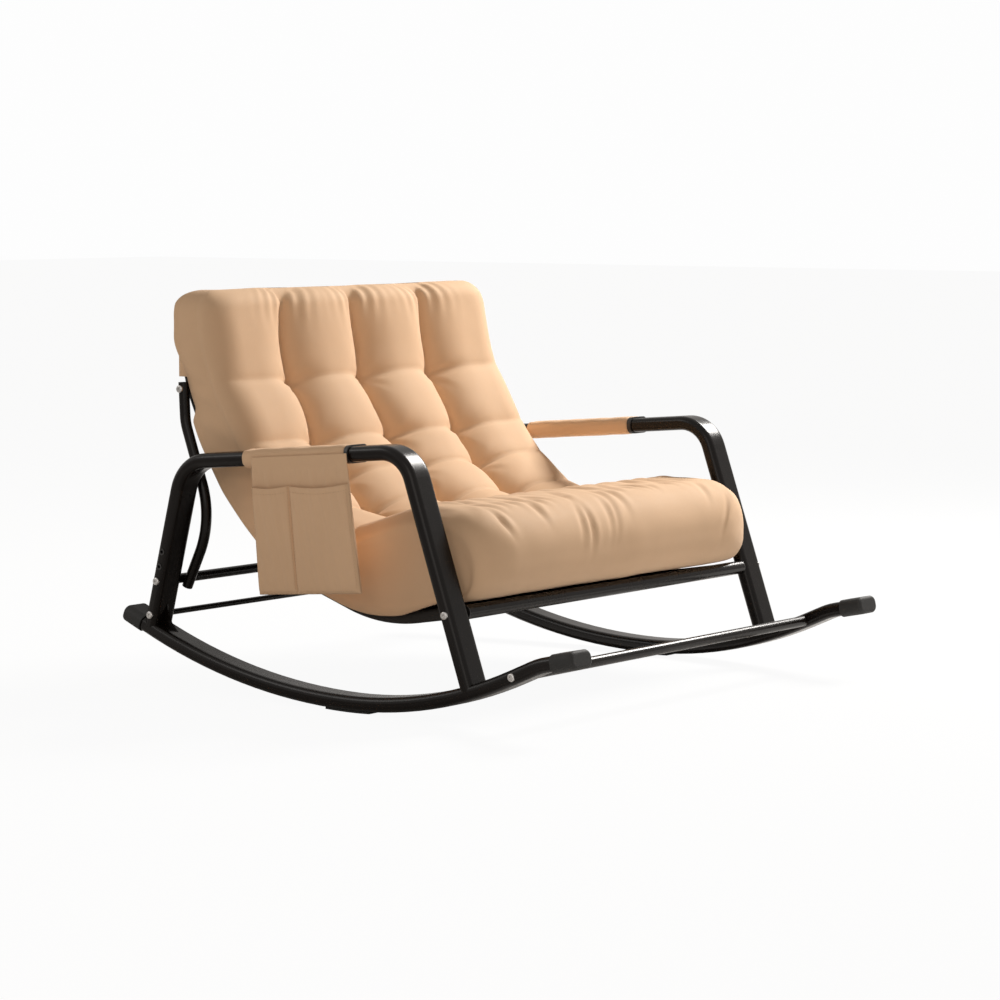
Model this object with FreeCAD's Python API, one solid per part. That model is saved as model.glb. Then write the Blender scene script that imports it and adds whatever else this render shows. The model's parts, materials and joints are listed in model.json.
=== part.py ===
import FreeCAD, Part
import math
import os

from FreeCAD import Vector

# A wide rocking lounge chair on two curved runners.
# Millimetres, +Z up. The front of the chair faces -Y and the sitter's right is -X.
# The origin is on the floor in the chair's middle plane, halfway along its length.
# Side shapes are drawn in a plane of constant X, as (forward, height) pairs:
# forward is -Y, so a point (120, 300) is 120 mm in front of the origin and 300 mm up.
os.makedirs("parts", exist_ok=True)

# Driving dimensions: the chair as a whole
CHAIR_WIDTH = 1067.0
CONTACT_GAP = 0.3
TIGHTEST_BEND = 1.0

# Flat-oval tube of the runners and side frames
OVAL_WIDTH = 60.0
OVAL_DEPTH = 30.0
OVAL_CORNER = 12.0
OVAL_WALL = 2.0

# Runners: two tangent arcs that meet at the lowest point, straight at both ends
RUNNER_LOW_FORWARD = 26.0
RUNNER_REAR_RADIUS = 1425.0
RUNNER_REAR_RISE = 22.3
RUNNER_REAR_STRAIGHT = 55.0
RUNNER_FRONT_RADIUS = 1005.0
RUNNER_FRONT_RISE = 24.0
RUNNER_FRONT_STRAIGHT = 70.0
RUNNER_TIP_RADIUS = 160.0
RUNNER_TIP_RISE = 12.0
RUNNER_TIP_LENGTH = 78.0
CAP_WALL = 3.0
CAP_OVERLAP = 44.0
CAP_END = 9.0
FOOT_PAD_THICKNESS = 4.0
FOOT_PAD_WIDTH = 40.0
FOOT_PAD_REACH = 56.0

# Side frames: rear leg, arm and front leg bent from one tube
ARM_FRONT_CORNER = (170.0, 518.3)
ARM_REAR_CORNER = (-411.3, 469.4)
FRONT_LEG_LEAN = 19.5
REAR_LEG_LEAN = 15.0
FRONT_BEND_RADIUS = 72.0
REAR_BEND_RADIUS = 85.0
GUSSET_REACH = 46.0
GUSSET_RISE = 58.0
GUSSET_THICKNESS = 4.0

# Round cross members of the base
STRETCHER_DIAMETER = 22.0
STRETCHER_FORWARD = 441.0
LOWER_ROD_DIAMETER = 12.0
LOWER_ROD_HEIGHT = 150.0
ROUND_WALL = 1.5

# Bolts
BOLT_DIAMETER = 8.0
BOLT_CLEARANCE = 0.4
BOLT_HEAD_DIAMETER = 16.0
BOLT_HEAD_HEIGHT = 4.5
BOLT_SOCKET = 5.0
BOLT_GRIP = 18.0
INSERT_LENGTH = 26.0
NUT_WIDTH = 13.0
NUT_HEIGHT = 6.5
BOLT_TIP = 2.0

# Arm pads, their front rings, and the pocket on the sitter's right
PAD_REAR_FORWARD = -238.0
PAD_LENGTH = 270.0
LEFT_PAD_SHIFT = -60.0
LEFT_PAD_LENGTH = 280.0
PAD_THICKNESS = 5.0
PAD_END_ROUND = 4.0
RING_LENGTH = 9.0
RING_THICKNESS = 3.0
POCKET_REAR_INSET = 30.0
POCKET_FRONT_REACH = 10.0
POCKET_FLARE = 15.0
POCKET_DROP = 250.0
POCKET_HEM_DROP = 36.0
POCKET_DEPTH = 13.0
POCKET_DIVIDER = 0.39
CLOTH = 1.6

# Sling frame: side rails, a front tube that turns on the front legs, a top rail
RAIL_DIAMETER = 22.0
RAIL_INSET = 43.4
PIVOT_FORWARD = 280.0
PIVOT_HEIGHT = 212.0
FRONT_TUBE_DIAMETER = 28.0
PIVOT_WASHER = 2.0
RAIL_TOP = (-481.0, 762.0)
RAIL_BENDS = [(-481.0, 636.0, 250.0), (-384.6, 431.0, 700.0), (-228.0, 262.0, 420.0), (40.0, 172.0, 350.0)]
SLING_CLOTH = 1.5
SLING_DROP = 3.0
HOOD_CLOTH = 2.5
HOOD_ABOVE_HINGE = 24.0
HOOD_FOLD_RADIUS = 2.5
PLUG_THICKNESS = 3.0

# Rear support: two S-shaped tubes hung from the rails, joined by a crossbar
SUPPORT_DIAMETER = 22.0
SUPPORT_GAP = 6.0
SUPPORT_ROOM = 2.5
HINGE_HEIGHT = 612.0
SUPPORT_TOP_REACH = 14.0
SUPPORT_UPPER_BEND = (-464.0, 543.6, 100.0)
SUPPORT_LOWER_BEND = (-392.0, 347.0, 180.0)
SUPPORT_FOOT_REACH = 8.0
CROSSBAR_DIAMETER = 20.0
ADJUSTER_HEIGHT = 221.0
ADJUSTER_SPACING = 32.0
ADJUSTER_HOLES = 3
WELD_BITE = 0.6
GROMMET_DIAMETER = 14.0
GROMMET_HEIGHT = 1.5
GROMMET_BORE = 7.0

# Cushion: the outline of its side, round the space that the mattress fills
CUSHION_SIDE_GAP = 13.5
CUSHION_HEIGHT = 814.0
CUSHION_BACK_RADIUS = 38.0
CUSHION_FACE = [
    (-393.0, CUSHION_HEIGHT, 44.0),
    (-356.0, 650.0, 300.0),
    (-252.0, 474.0, 260.0),
    (-146.0, 384.0, 200.0),
    (-34.0, 355.0, 150.0),
    (120.0, 405.0, 120.0),
    (324.0, 405.0, 92.0),
    (328.0, 231.0, 70.0),
]
CUSHION_FRONT_KNEE = (212.0, 225.0, 60.0)

# Places worked out from the driving dimensions. The pieces of the sitter's right are
# built at negative X, and those of the left are their mirror images.
SIDE = -1
FRAME_OUTER = CHAIR_WIDTH / 2
FRAME_MIDDLE = FRAME_OUTER - OVAL_WIDTH / 2
FRAME_INNER = FRAME_OUTER - OVAL_WIDTH
SIDE_X = SIDE * FRAME_MIDDLE
RAIL_X = FRAME_INNER - RAIL_INSET
CUSHION_HALF_WIDTH = FRAME_INNER - CUSHION_SIDE_GAP
SUPPORT_X = RAIL_X + RAIL_DIAMETER / 2 + SUPPORT_GAP + SUPPORT_DIAMETER / 2
RUNNER_LOW_HEIGHT = FOOT_PAD_THICKNESS + OVAL_DEPTH / 2
PIVOT = (PIVOT_FORWARD, PIVOT_HEIGHT)
X_AXIS = Vector(1, 0, 0)


def at(x, forward, height):
    """A point of the chair from its side, forward and height values."""
    return Vector(x, -forward, height)


def save(node, shape):
    """Write one node; several solids in it stay separate."""
    shape.exportStep("parts/" + node + ".step")


def group(shapes):
    return Part.makeCompound(shapes)


def mirrored(shape):
    """The same piece on the other side of the chair."""
    return shape.mirror(Vector(0, 0, 0), X_AXIS)


def save_pair(node, shape):
    """Write the sitter's right piece and its mirror image as two nodes."""
    save(node + "_right", shape)
    save(node + "_left", mirrored(shape))


def save_both(node, shape):
    """Write the pieces of both sides as one node of separate solids."""
    save(node, group([shape, mirrored(shape)]))


def right_side_out(solid):
    """The same solid with its faces looking outwards, whichever way its first face looked."""
    if solid.Volume < 0:
        solid.reverse()
    return solid


def largest(shape):
    return max(shape.Solids, key=lambda solid: solid.Volume)


def heading(start, end):
    """Unit vector from one (forward, height) point to another."""
    run, rise = end[0] - start[0], end[1] - start[1]
    length = math.hypot(run, rise)
    return (run / length, rise / length)


def turned(direction):
    """The direction turned a quarter turn to its left, seen from the sitter's right."""
    return (-direction[1], direction[0])


def along(point, direction, distance):
    return (point[0] + direction[0] * distance, point[1] + direction[1] * distance)


def shifted(corners, offset, closed=False):
    """The outline that runs parallel to a rounded one, offset to its left."""
    result = []
    count = len(corners)
    for index, corner in enumerate(corners):
        first, last = index == 0, index == count - 1
        before = None if first and not closed else heading(corners[index - 1], corner)
        after = None if last and not closed else heading(corner, corners[(index + 1) % count])
        before, after = before or after, after or before
        left_a, left_b = turned(before), turned(after)
        share = offset / (1 + left_a[0] * left_b[0] + left_a[1] * left_b[1])
        place = (corner[0] + (left_a[0] + left_b[0]) * share, corner[1] + (left_a[1] + left_b[1]) * share)
        bend = before[0] * after[1] - before[1] * after[0]
        radius = corner[2] - offset if bend > 0 else corner[2] + offset
        result.append((place[0], place[1], max(radius, TIGHTEST_BEND) if corner[2] else 0.0))
    return result


def bend_angle(corners, index):
    """How far the outline turns at one corner, to its left if positive."""
    before = heading(corners[index - 1], corners[index])
    after = heading(corners[index], corners[(index + 1) % len(corners)])
    cross = before[0] * after[1] - before[1] * after[0]
    return math.atan2(cross, before[0] * after[0] + before[1] * after[1])


def fitting_radii(corners, closed):
    """The corners' radii, made smaller where two bends would meet on the run between them."""
    count = len(corners)
    inner = range(count) if closed else range(1, count - 1)
    tangents = {index: math.tan(abs(bend_angle(corners, index)) / 2) for index in inner}
    shares = [1.0] * count
    for index in range(count if closed else count - 1):
        following = (index + 1) % count
        needed = sum(corners[end][2] * tangents.get(end, 0.0) for end in (index, following))
        room = math.dist(corners[index][:2], corners[following][:2])
        if needed > room:
            for end in (index, following):
                shares[end] = min(shares[end], room / needed)
    return [corner[2] * share for corner, share in zip(corners, shares)]


def runs(corners, closed=False):
    """Straight runs and arcs of a rounded outline, as dictionaries in order."""
    count = len(corners)
    radii = fitting_radii(corners, closed)
    bends = []
    for index, corner in enumerate(corners):
        if not closed and index in (0, count - 1):
            bends.append(None)
            continue
        before = heading(corners[index - 1], corner)
        after = heading(corner, corners[(index + 1) % count])
        angle = bend_angle(corners, index)
        reach = radii[index] * math.tan(abs(angle) / 2)
        start, end = along(corner, before, -reach), along(corner, after, reach)
        centre = along(start, turned(before), math.copysign(radii[index], angle))
        bends.append({"start": start, "end": end, "centre": centre, "angle": angle, "radius": radii[index]})
    pieces = []
    for index in range(count if closed else count - 1):
        following = (index + 1) % count
        start = bends[index]["end"] if bends[index] else corners[index][:2]
        end = bends[following]["start"] if bends[following] else corners[following][:2]
        pieces.append({"start": start, "end": end, "angle": 0.0})
        if bends[following]:
            pieces.append(bends[following])
    return [piece for piece in pieces if math.dist(piece["start"], piece["end"]) > 1e-6]


def side_wire(x, corners, closed=False):
    """A wire of lines and arcs in the plane of one X."""
    edges = []
    for piece in runs(corners, closed):
        start, end = at(x, *piece["start"]), at(x, *piece["end"])
        if piece["angle"] == 0.0:
            edges.append(Part.LineSegment(start, end).toShape())
            continue
        middle = along_arc(piece)
        edges.append(Part.Arc(start, at(x, *middle), end).toShape())
    return Part.Wire(edges)


def along_arc(piece):
    """The middle point of an arc."""
    centre, angle = piece["centre"], piece["angle"] / 2
    run, rise = piece["start"][0] - centre[0], piece["start"][1] - centre[1]
    cosine, sine = math.cos(angle), math.sin(angle)
    return (centre[0] + run * cosine - rise * sine, centre[1] + run * sine + rise * cosine)


def oval_wire(x, point, direction, width, depth, corner):
    """A rounded rectangle across a tube that runs along the direction."""
    left = turned(direction)
    flat_x, flat_side = width / 2 - corner, depth / 2 - corner
    diagonal = corner * math.sqrt(0.5)

    def place(across, sideways):
        spot = along(point, left, sideways)
        return at(x + across, *spot)

    edges = []
    for sign_x, sign_side in ((1, 1), (-1, 1), (-1, -1), (1, -1)):
        centre = (sign_x * flat_x, sign_side * flat_side)
        by_side = place(centre[0] + sign_x * corner, centre[1])
        by_top = place(centre[0], centre[1] + sign_side * corner)
        bulge = place(centre[0] + sign_x * diagonal, centre[1] + sign_side * diagonal)
        ends = (by_side, by_top) if sign_x == sign_side else (by_top, by_side)
        edges.append(Part.Arc(ends[0], bulge, ends[1]).toShape())
    corners = [(edge.Vertexes[0].Point, edge.Vertexes[-1].Point) for edge in edges]
    lines = []
    for index in range(len(corners)):
        start, end = corners[index][1], corners[(index + 1) % len(corners)][0]
        if start.distanceToPoint(end) > 1e-6:
            lines.append(Part.LineSegment(start, end).toShape())
    return Part.Wire(Part.__sortEdges__(edges + lines))


def bent(x, corners, profile):
    """A profile pushed along straight runs and turned round the bends between them.

    profile(x, point, direction) gives the face that the path starts with."""
    pieces = runs(corners)
    start_heading = heading(corners[0], corners[1])
    face = profile(x, pieces[0]["start"], start_heading)
    solids = []
    for piece in pieces:
        if piece["angle"] == 0.0:
            travel = at(0, *piece["end"]) - at(0, *piece["start"])
            solids.append(right_side_out(face.extrude(travel)))
            face = face.translated(travel)
            continue
        centre = at(x, *piece["centre"])
        degrees = -math.degrees(piece["angle"])
        solids.append(right_side_out(face.revolve(centre, X_AXIS, degrees)))
        face = face.rotated(centre, X_AXIS, degrees)
    whole = solids[0].fuse(solids[1:]) if len(solids) > 1 else solids[0]
    return whole.removeSplitter()


def oval_face(grow=0.0, hollow=False):
    """A face across the flat-oval tube, grown all round, with its bore if hollow."""
    def make(x, point, direction):
        width, depth = OVAL_WIDTH + 2 * grow, OVAL_DEPTH + 2 * grow
        outer = oval_wire(x, point, direction, width, depth, OVAL_CORNER + grow)
        if not hollow:
            return Part.Face(outer)
        bore = [size - 2 * OVAL_WALL for size in (OVAL_WIDTH, OVAL_DEPTH)]
        inner = oval_wire(x, point, direction, bore[0], bore[1], OVAL_CORNER - OVAL_WALL)
        return Part.Face(outer).cut(Part.Face(inner)).Faces[0]
    return make


def round_face(diameter, wall=0.0):
    def make(x, point, direction):
        normal = at(0, *direction)
        outer = Part.Wire(Part.makeCircle(diameter / 2, at(x, *point), normal))
        if not wall:
            return Part.Face(outer)
        inner = Part.Wire(Part.makeCircle(diameter / 2 - wall, at(x, *point), normal))
        return Part.Face(outer).cut(Part.Face(inner)).Faces[0]
    return make


def rod(diameter, x_start, x_end, point):
    """A solid cylinder across the chair."""
    low, high = min(x_start, x_end), max(x_start, x_end)
    return Part.makeCylinder(diameter / 2, high - low, at(low, *point), X_AXIS)


def cross_tube(diameter, half_length, point):
    outer = rod(diameter, -half_length, half_length, point)
    return outer.cut(rod(diameter - 2 * ROUND_WALL, -half_length, half_length, point))


def hexagon(width, x_start, x_end, point):
    """A hexagonal bar across the chair."""
    radius = width / math.sqrt(3)
    corners = []
    for turn in range(7):
        angle = math.radians(60 * turn)
        corners.append(at(x_start, point[0] + radius * math.cos(angle), point[1] + radius * math.sin(angle)))
    return right_side_out(Part.Face(Part.makePolygon(corners)).extrude(Vector(x_end - x_start, 0, 0)))


def bolt(seat, length, point):
    """A socket bolt on the sitter's right, driven inwards from the seat of its domed head."""
    x_seat = SIDE * seat
    head_end = x_seat + SIDE * BOLT_HEAD_HEIGHT
    head = rod(BOLT_HEAD_DIAMETER, x_seat, head_end, point)
    crown = [edge for edge in head.Edges if abs(edge.CenterOfMass.x - head_end) < 1e-3 and edge.Length > 9]
    head = head.makeFillet(BOLT_HEAD_HEIGHT * 0.6, crown)
    socket = hexagon(BOLT_SOCKET, head_end - SIDE * BOLT_HEAD_HEIGHT * 0.6, head_end + SIDE, point)
    shank = rod(BOLT_DIAMETER, x_seat, x_seat - SIDE * length, point)
    return head.fuse(shank).cut(socket).removeSplitter()


def hole(x_start, x_end, point, diameter=BOLT_DIAMETER + BOLT_CLEARANCE):
    return rod(diameter, x_start, x_end, point)


def insert(half_length, tube_diameter, point):
    """The threaded plug in the right end of a round tube, bored for its bolt."""
    bore = tube_diameter - 2 * ROUND_WALL
    x_outer = SIDE * half_length
    plug = rod(bore, x_outer, x_outer - SIDE * INSERT_LENGTH, point)
    return plug.cut(hole(x_outer + SIDE, x_outer - SIDE * (BOLT_GRIP + 1), point, BOLT_DIAMETER))


def runner_path():
    """Centre line of a runner, from its rear end to its front end."""
    rear_angle, front_angle = math.radians(RUNNER_REAR_RISE), math.radians(RUNNER_FRONT_RISE)
    tip_angle = math.radians(RUNNER_TIP_RISE)
    rear_reach = RUNNER_REAR_RADIUS * math.tan(rear_angle / 2)
    front_reach = RUNNER_FRONT_RADIUS * math.tan(front_angle / 2)
    rear_corner = (RUNNER_LOW_FORWARD - rear_reach, RUNNER_LOW_HEIGHT)
    front_corner = (RUNNER_LOW_FORWARD + front_reach, RUNNER_LOW_HEIGHT)
    fall = (-math.cos(rear_angle), math.sin(rear_angle))
    rear_end = along(rear_corner, fall, rear_reach + RUNNER_REAR_STRAIGHT)
    rise = (math.cos(front_angle), math.sin(front_angle))
    tip_corner = along(front_corner, rise, front_reach + RUNNER_FRONT_STRAIGHT)
    front_end = along(tip_corner, (math.cos(tip_angle), math.sin(tip_angle)), RUNNER_TIP_LENGTH)
    return [
        rear_end + (0.0,),
        rear_corner + (RUNNER_REAR_RADIUS,),
        front_corner + (RUNNER_FRONT_RADIUS,),
        tip_corner + (RUNNER_TIP_RADIUS,),
        front_end + (0.0,),
    ]


def runner_height(forward):
    """Height of the runner's centre line over its two arcs and the straight rear end."""
    path = runner_path()
    for piece in runs(path):
        if not piece["start"][0] <= forward <= piece["end"][0]:
            continue
        if piece["angle"] == 0.0:
            share = (forward - piece["start"][0]) / (piece["end"][0] - piece["start"][0])
            return piece["start"][1] + share * (piece["end"][1] - piece["start"][1])
        below = -1 if piece["angle"] > 0 else 1
        run = forward - piece["centre"][0]
        return piece["centre"][1] + below * math.sqrt(piece["radius"] ** 2 - run ** 2)
    raise ValueError("no runner at %.1f" % forward)


def leg_foot(corner, direction):
    """Where a leg's centre line meets the runner's centre line."""
    distance = 0.0
    for _ in range(30):
        forward, height = along(corner, direction, distance)
        distance += (height - runner_height(forward)) / -direction[1]
    return along(corner, direction, distance)


FRONT_LEG_DOWN = (math.sin(math.radians(FRONT_LEG_LEAN)), -math.cos(math.radians(FRONT_LEG_LEAN)))
REAR_LEG_DOWN = (-math.sin(math.radians(REAR_LEG_LEAN)), -math.cos(math.radians(REAR_LEG_LEAN)))
FRONT_FOOT = leg_foot(ARM_FRONT_CORNER, FRONT_LEG_DOWN)
REAR_FOOT = leg_foot(ARM_REAR_CORNER, REAR_LEG_DOWN)
ARM_FORWARD = heading(ARM_REAR_CORNER, ARM_FRONT_CORNER)
STRETCHER = (STRETCHER_FORWARD, runner_height(STRETCHER_FORWARD))


def on_leg(corner, direction, height):
    """The point of a leg's centre line at one height."""
    return along(corner, direction, (corner[1] - height) / -direction[1])


LOWER_ROD = on_leg(ARM_REAR_CORNER, REAR_LEG_DOWN, LOWER_ROD_HEIGHT)
ADJUSTER = on_leg(ARM_REAR_CORNER, REAR_LEG_DOWN, ADJUSTER_HEIGHT)
ADJUSTER_ROW = [along(ADJUSTER, REAR_LEG_DOWN, -ADJUSTER_SPACING * step) for step in range(ADJUSTER_HOLES)]


def runner():
    tube = bent(SIDE_X, runner_path(), oval_face(hollow=True))
    return tube.cut(hole(SIDE_X - OVAL_WIDTH, SIDE_X + OVAL_WIDTH, STRETCHER))


def runner_cap(end, inward):
    """A rubber cap over one end of a runner, with a rounded nose."""
    x = SIDE_X
    outward = (-inward[0], -inward[1])
    mouth = along(end, inward, CAP_OVERLAP) + (0.0,)
    nose = along(end, outward, CAP_END) + (0.0,)
    cap = bent(x, [mouth, nose], oval_face(grow=CAP_WALL))
    tip = at(x, *nose[:2])
    nose_edges = [edge for edge in cap.Edges if all(abs((v.Point - tip).dot(at(0, *outward))) < 1e-3
                                                    for v in edge.Vertexes)]
    cap = cap.makeFillet(CAP_END * 0.8, nose_edges)
    return cap.cut(bent(x, [mouth, end + (0.0,)], oval_face()))


def foot_pad():
    """A rubber strip under the lowest part of a runner, bent to both its arcs."""
    x = SIDE_X
    strips = []
    for radius, way in ((RUNNER_REAR_RADIUS, 1), (RUNNER_FRONT_RADIUS, -1)):
        inner = radius + OVAL_DEPTH / 2
        centre = at(x, RUNNER_LOW_FORWARD, RUNNER_LOW_HEIGHT + radius)
        low = centre.z - inner
        corner = at(x - FOOT_PAD_WIDTH / 2, RUNNER_LOW_FORWARD, low - FOOT_PAD_THICKNESS)
        wide = Vector(FOOT_PAD_WIDTH, 0, 0)
        tall = Vector(0, 0, FOOT_PAD_THICKNESS)
        outline = Part.makePolygon([corner, corner + wide, corner + wide + tall, corner + tall, corner])
        strip = Part.Face(outline).revolve(centre, X_AXIS, way * math.degrees(FOOT_PAD_REACH / inner))
        strips.append(right_side_out(strip))
    return strips[0].fuse(strips[1]).removeSplitter()


def side_frame_path():
    return [
        REAR_FOOT + (0.0,),
        ARM_REAR_CORNER + (REAR_BEND_RADIUS,),
        ARM_FRONT_CORNER + (FRONT_BEND_RADIUS,),
        FRONT_FOOT + (0.0,),
    ]


def side_frame(runner_block):
    """Rear leg, arm and front leg in one tube, cut to sit on the runner."""
    tube = bent(SIDE_X, side_frame_path(), oval_face(hollow=True))
    points = ADJUSTER_ROW + [LOWER_ROD, PIVOT]
    holes = [hole(SIDE_X - OVAL_WIDTH, SIDE_X + OVAL_WIDTH, point) for point in points]
    return tube.cut([runner_block] + holes)


def gusset(blockers):
    """A curved web plate between the rear leg and the runner."""
    x = SIDE_X - GUSSET_THICKNESS / 2
    front_face = along(REAR_FOOT, (-REAR_LEG_DOWN[1], REAR_LEG_DOWN[0]), OVAL_DEPTH / 2)
    upper = along(front_face, REAR_LEG_DOWN, -(GUSSET_RISE + OVAL_DEPTH / 2))
    toe_forward = REAR_FOOT[0] + OVAL_DEPTH / 2 + GUSSET_REACH
    toe = (toe_forward, runner_height(toe_forward) + OVAL_DEPTH / 2)
    corner = REAR_FOOT
    hollow = ((upper[0] + toe[0]) / 2 - GUSSET_REACH * 0.22, (upper[1] + toe[1]) / 2 - GUSSET_RISE * 0.22)
    edges = [
        Part.LineSegment(at(x, *corner), at(x, *upper)).toShape(),
        Part.Arc(at(x, *upper), at(x, *hollow), at(x, *toe)).toShape(),
        Part.LineSegment(at(x, *toe), at(x, *corner)).toShape(),
    ]
    plate = right_side_out(Part.Face(Part.Wire(edges)).extrude(Vector(GUSSET_THICKNESS, 0, 0)))
    return largest(plate.cut(blockers))


def on_arm(distance, lift=0.0):
    """A point of the arm, measured along it from the pad's rear end and square to it."""
    share = (PAD_REAR_FORWARD - ARM_REAR_CORNER[0]) / ARM_FORWARD[0]
    start = along(ARM_REAR_CORNER, ARM_FORWARD, share)
    return along(along(start, ARM_FORWARD, distance), turned(ARM_FORWARD), lift)


def arm_sleeve(start, end, inner_grow, outer_grow, round_ends):
    """A sleeve round the straight part of the arm."""
    path = [on_arm(start) + (0.0,), on_arm(end) + (0.0,)]
    sleeve = bent(SIDE_X, path, oval_face(grow=outer_grow))
    if round_ends:
        ends = [face for face in sleeve.Faces if abs(face.normalAt(0, 0).dot(at(0, *ARM_FORWARD))) > 0.99]
        sleeve = sleeve.makeFillet(round_ends, [edge for face in ends for edge in face.Edges])
    return sleeve.cut(bent(SIDE_X, path, oval_face(grow=inner_grow)))


def pocket_slab(x_start, x_end, start, end, top, bottom, flare=0.0):
    """A flat piece hung square to the arm, whose front edge runs forward towards its foot."""
    ends = [end + flare * (POCKET_TOP - lift) / POCKET_DROP for lift in (top, bottom)]
    corners = [on_arm(start, top), on_arm(ends[0], top), on_arm(ends[1], bottom), on_arm(start, bottom)]
    outline = Part.makePolygon([at(x_start, *corner) for corner in corners + corners[:1]])
    return right_side_out(Part.Face(outline).extrude(Vector(x_end - x_start, 0, 0)))


POCKET_BACK_X = -(FRAME_OUTER + PAD_THICKNESS)
POCKET_START = POCKET_REAR_INSET
POCKET_END = PAD_LENGTH + POCKET_FRONT_REACH
POCKET_TOP = -(OVAL_DEPTH / 2 + PAD_THICKNESS)
POCKET_BOTTOM = POCKET_TOP - POCKET_DROP


def pocket_back():
    """The cloth that hangs from the pad's outer side."""
    top = OVAL_DEPTH / 2 - OVAL_CORNER
    outer = POCKET_BACK_X - CLOTH
    return pocket_slab(POCKET_BACK_X, outer, POCKET_START, POCKET_END, top, POCKET_BOTTOM, POCKET_FLARE)


def pocket_front():
    """The gusseted front cloth, which makes one narrow and one wide compartment."""
    inner = POCKET_BACK_X - CLOTH
    outer = inner - POCKET_DEPTH
    top = POCKET_TOP - POCKET_HEM_DROP
    length = POCKET_END - POCKET_START
    divider = POCKET_START + POCKET_DIVIDER * length
    shell = pocket_slab(inner, outer, POCKET_START, POCKET_END, top, POCKET_BOTTOM, POCKET_FLARE)
    narrow = (POCKET_START + CLOTH, divider - CLOTH / 2, 0.0)
    wide = (divider + CLOTH / 2, POCKET_END - CLOTH, POCKET_FLARE)
    for start, end, flare in (narrow, wide):
        space = pocket_slab(inner, outer + CLOTH, start, end, top + CLOTH, POCKET_BOTTOM + CLOTH, flare)
        shell = shell.cut(space)
    return shell


def rail_path():
    """Centre line of a sling rail, from its top end to the tube it turns on."""
    return [RAIL_TOP + (0.0,)] + RAIL_BENDS + [PIVOT + (0.0,)]


def point_on_path(corners, height):
    """Where a falling path first reaches one height."""
    for piece in runs(corners):
        start, end = piece["start"], piece["end"]
        if not end[1] <= height <= start[1]:
            continue
        if piece["angle"] == 0.0:
            return along(start, heading(start, end), (start[1] - height) / -heading(start, end)[1])
        centre = piece["centre"]
        side = -1 if piece["angle"] > 0 else 1
        return (centre[0] + side * math.sqrt(piece["radius"] ** 2 - (height - centre[1]) ** 2), height)
    raise ValueError("the path never reaches %.1f" % height)


HINGE = point_on_path(rail_path(), HINGE_HEIGHT)
HOOD_BOTTOM = HINGE_HEIGHT + HOOD_ABOVE_HINGE


def seat_rail(front_tube):
    x = SIDE * RAIL_X
    rail = bent(x, rail_path(), round_face(RAIL_DIAMETER, ROUND_WALL))
    return rail.cut([front_tube, hole(x - RAIL_DIAMETER, x + RAIL_DIAMETER, HINGE)])


def top_rail(rail_block):
    bar = cross_tube(RAIL_DIAMETER, RAIL_X, along(RAIL_TOP, (0.0, -1.0), RAIL_DIAMETER / 2))
    return largest(bar.cut([rail_block, mirrored(rail_block)]))


def ribbon(corners, thickness, half_width):
    """A strip of cloth across the chair that follows a path, on the path's left."""
    other = shifted(corners, thickness)
    return cloth_block(corners + other[::-1], half_width)


def trimmed_rail(offset, cut_front, cut_top):
    """The rail's path shifted to the sitter's side and shortened at both ends."""
    corners = shifted(rail_path(), offset)
    top, first = corners[0], corners[1]
    last, front = corners[-2], corners[-1]
    corners[0] = along(top, heading(top, first), cut_top) + (0.0,)
    corners[-1] = along(front, heading(front, last), cut_front) + (0.0,)
    return corners


def sling():
    """The cloth stretched between the rails, with a sleeve round each rail."""
    x = SIDE * RAIL_X
    clear = RAIL_DIAMETER / 2 + CONTACT_GAP / 2
    front_stop = FRONT_TUBE_DIAMETER / 2 + 2.0
    sheet = ribbon(trimmed_rail(clear - SLING_DROP, front_stop, RAIL_DIAMETER), SLING_CLOTH, RAIL_X)
    path = trimmed_rail(0.0, front_stop, RAIL_DIAMETER)
    bore = bent(x, path, round_face(2 * clear))
    sleeve = bent(x, path, round_face(2 * (clear + SLING_CLOTH))).cut(bore)
    window = rod(3 * RAIL_DIAMETER, x - RAIL_DIAMETER, x + RAIL_DIAMETER, HINGE)
    sheet = sheet.cut([bore, mirrored(bore)]).fuse([sleeve, mirrored(sleeve)])
    return largest(sheet.cut([window, mirrored(window)]))


def hood():
    """The cloth cap on the back of the cushion that hooks over the top rail."""
    reach = RAIL_DIAMETER / 2 + SLING_CLOTH + 2 * CONTACT_GAP
    behind = RAIL_TOP[0] - reach
    above = RAIL_TOP[1] + PLUG_THICKNESS + CONTACT_GAP
    front = cushion_back() - CONTACT_GAP
    half_width = RAIL_X + reach
    outside = [
        (behind - HOOD_CLOTH, HOOD_BOTTOM, 0.0),
        (front, HOOD_BOTTOM, 0.0),
        (front, above + HOOD_CLOTH, 0.0),
        (behind - HOOD_CLOTH, above + HOOD_CLOTH, HOOD_FOLD_RADIUS + HOOD_CLOTH),
    ]
    below, beyond = HOOD_BOTTOM - HOOD_CLOTH, front + HOOD_CLOTH
    inside = [
        (behind, below, 0.0),
        (beyond, below, 0.0),
        (beyond, above, 0.0),
        (behind, above, HOOD_FOLD_RADIUS),
    ]
    return cloth_block(outside, half_width + HOOD_CLOTH).cut(cloth_block(inside, half_width))


def cloth_block(outline, half_width):
    """A solid with one rounded outline, right across the chair."""
    face = Part.Face(side_wire(-half_width, outline, closed=True))
    return right_side_out(face.extrude(Vector(2 * half_width, 0, 0)))


def cushion_outline():
    """The cushion seen from the side, with its underside resting on the sling."""
    underside = RAIL_DIAMETER / 2 + SLING_CLOTH + 2 * CONTACT_GAP
    rail = shifted(rail_path(), underside)
    back = (rail[0][0], CUSHION_HEIGHT, CUSHION_BACK_RADIUS)
    return [back] + rail[1:-1] + [CUSHION_FRONT_KNEE] + list(reversed(CUSHION_FACE))


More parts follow.
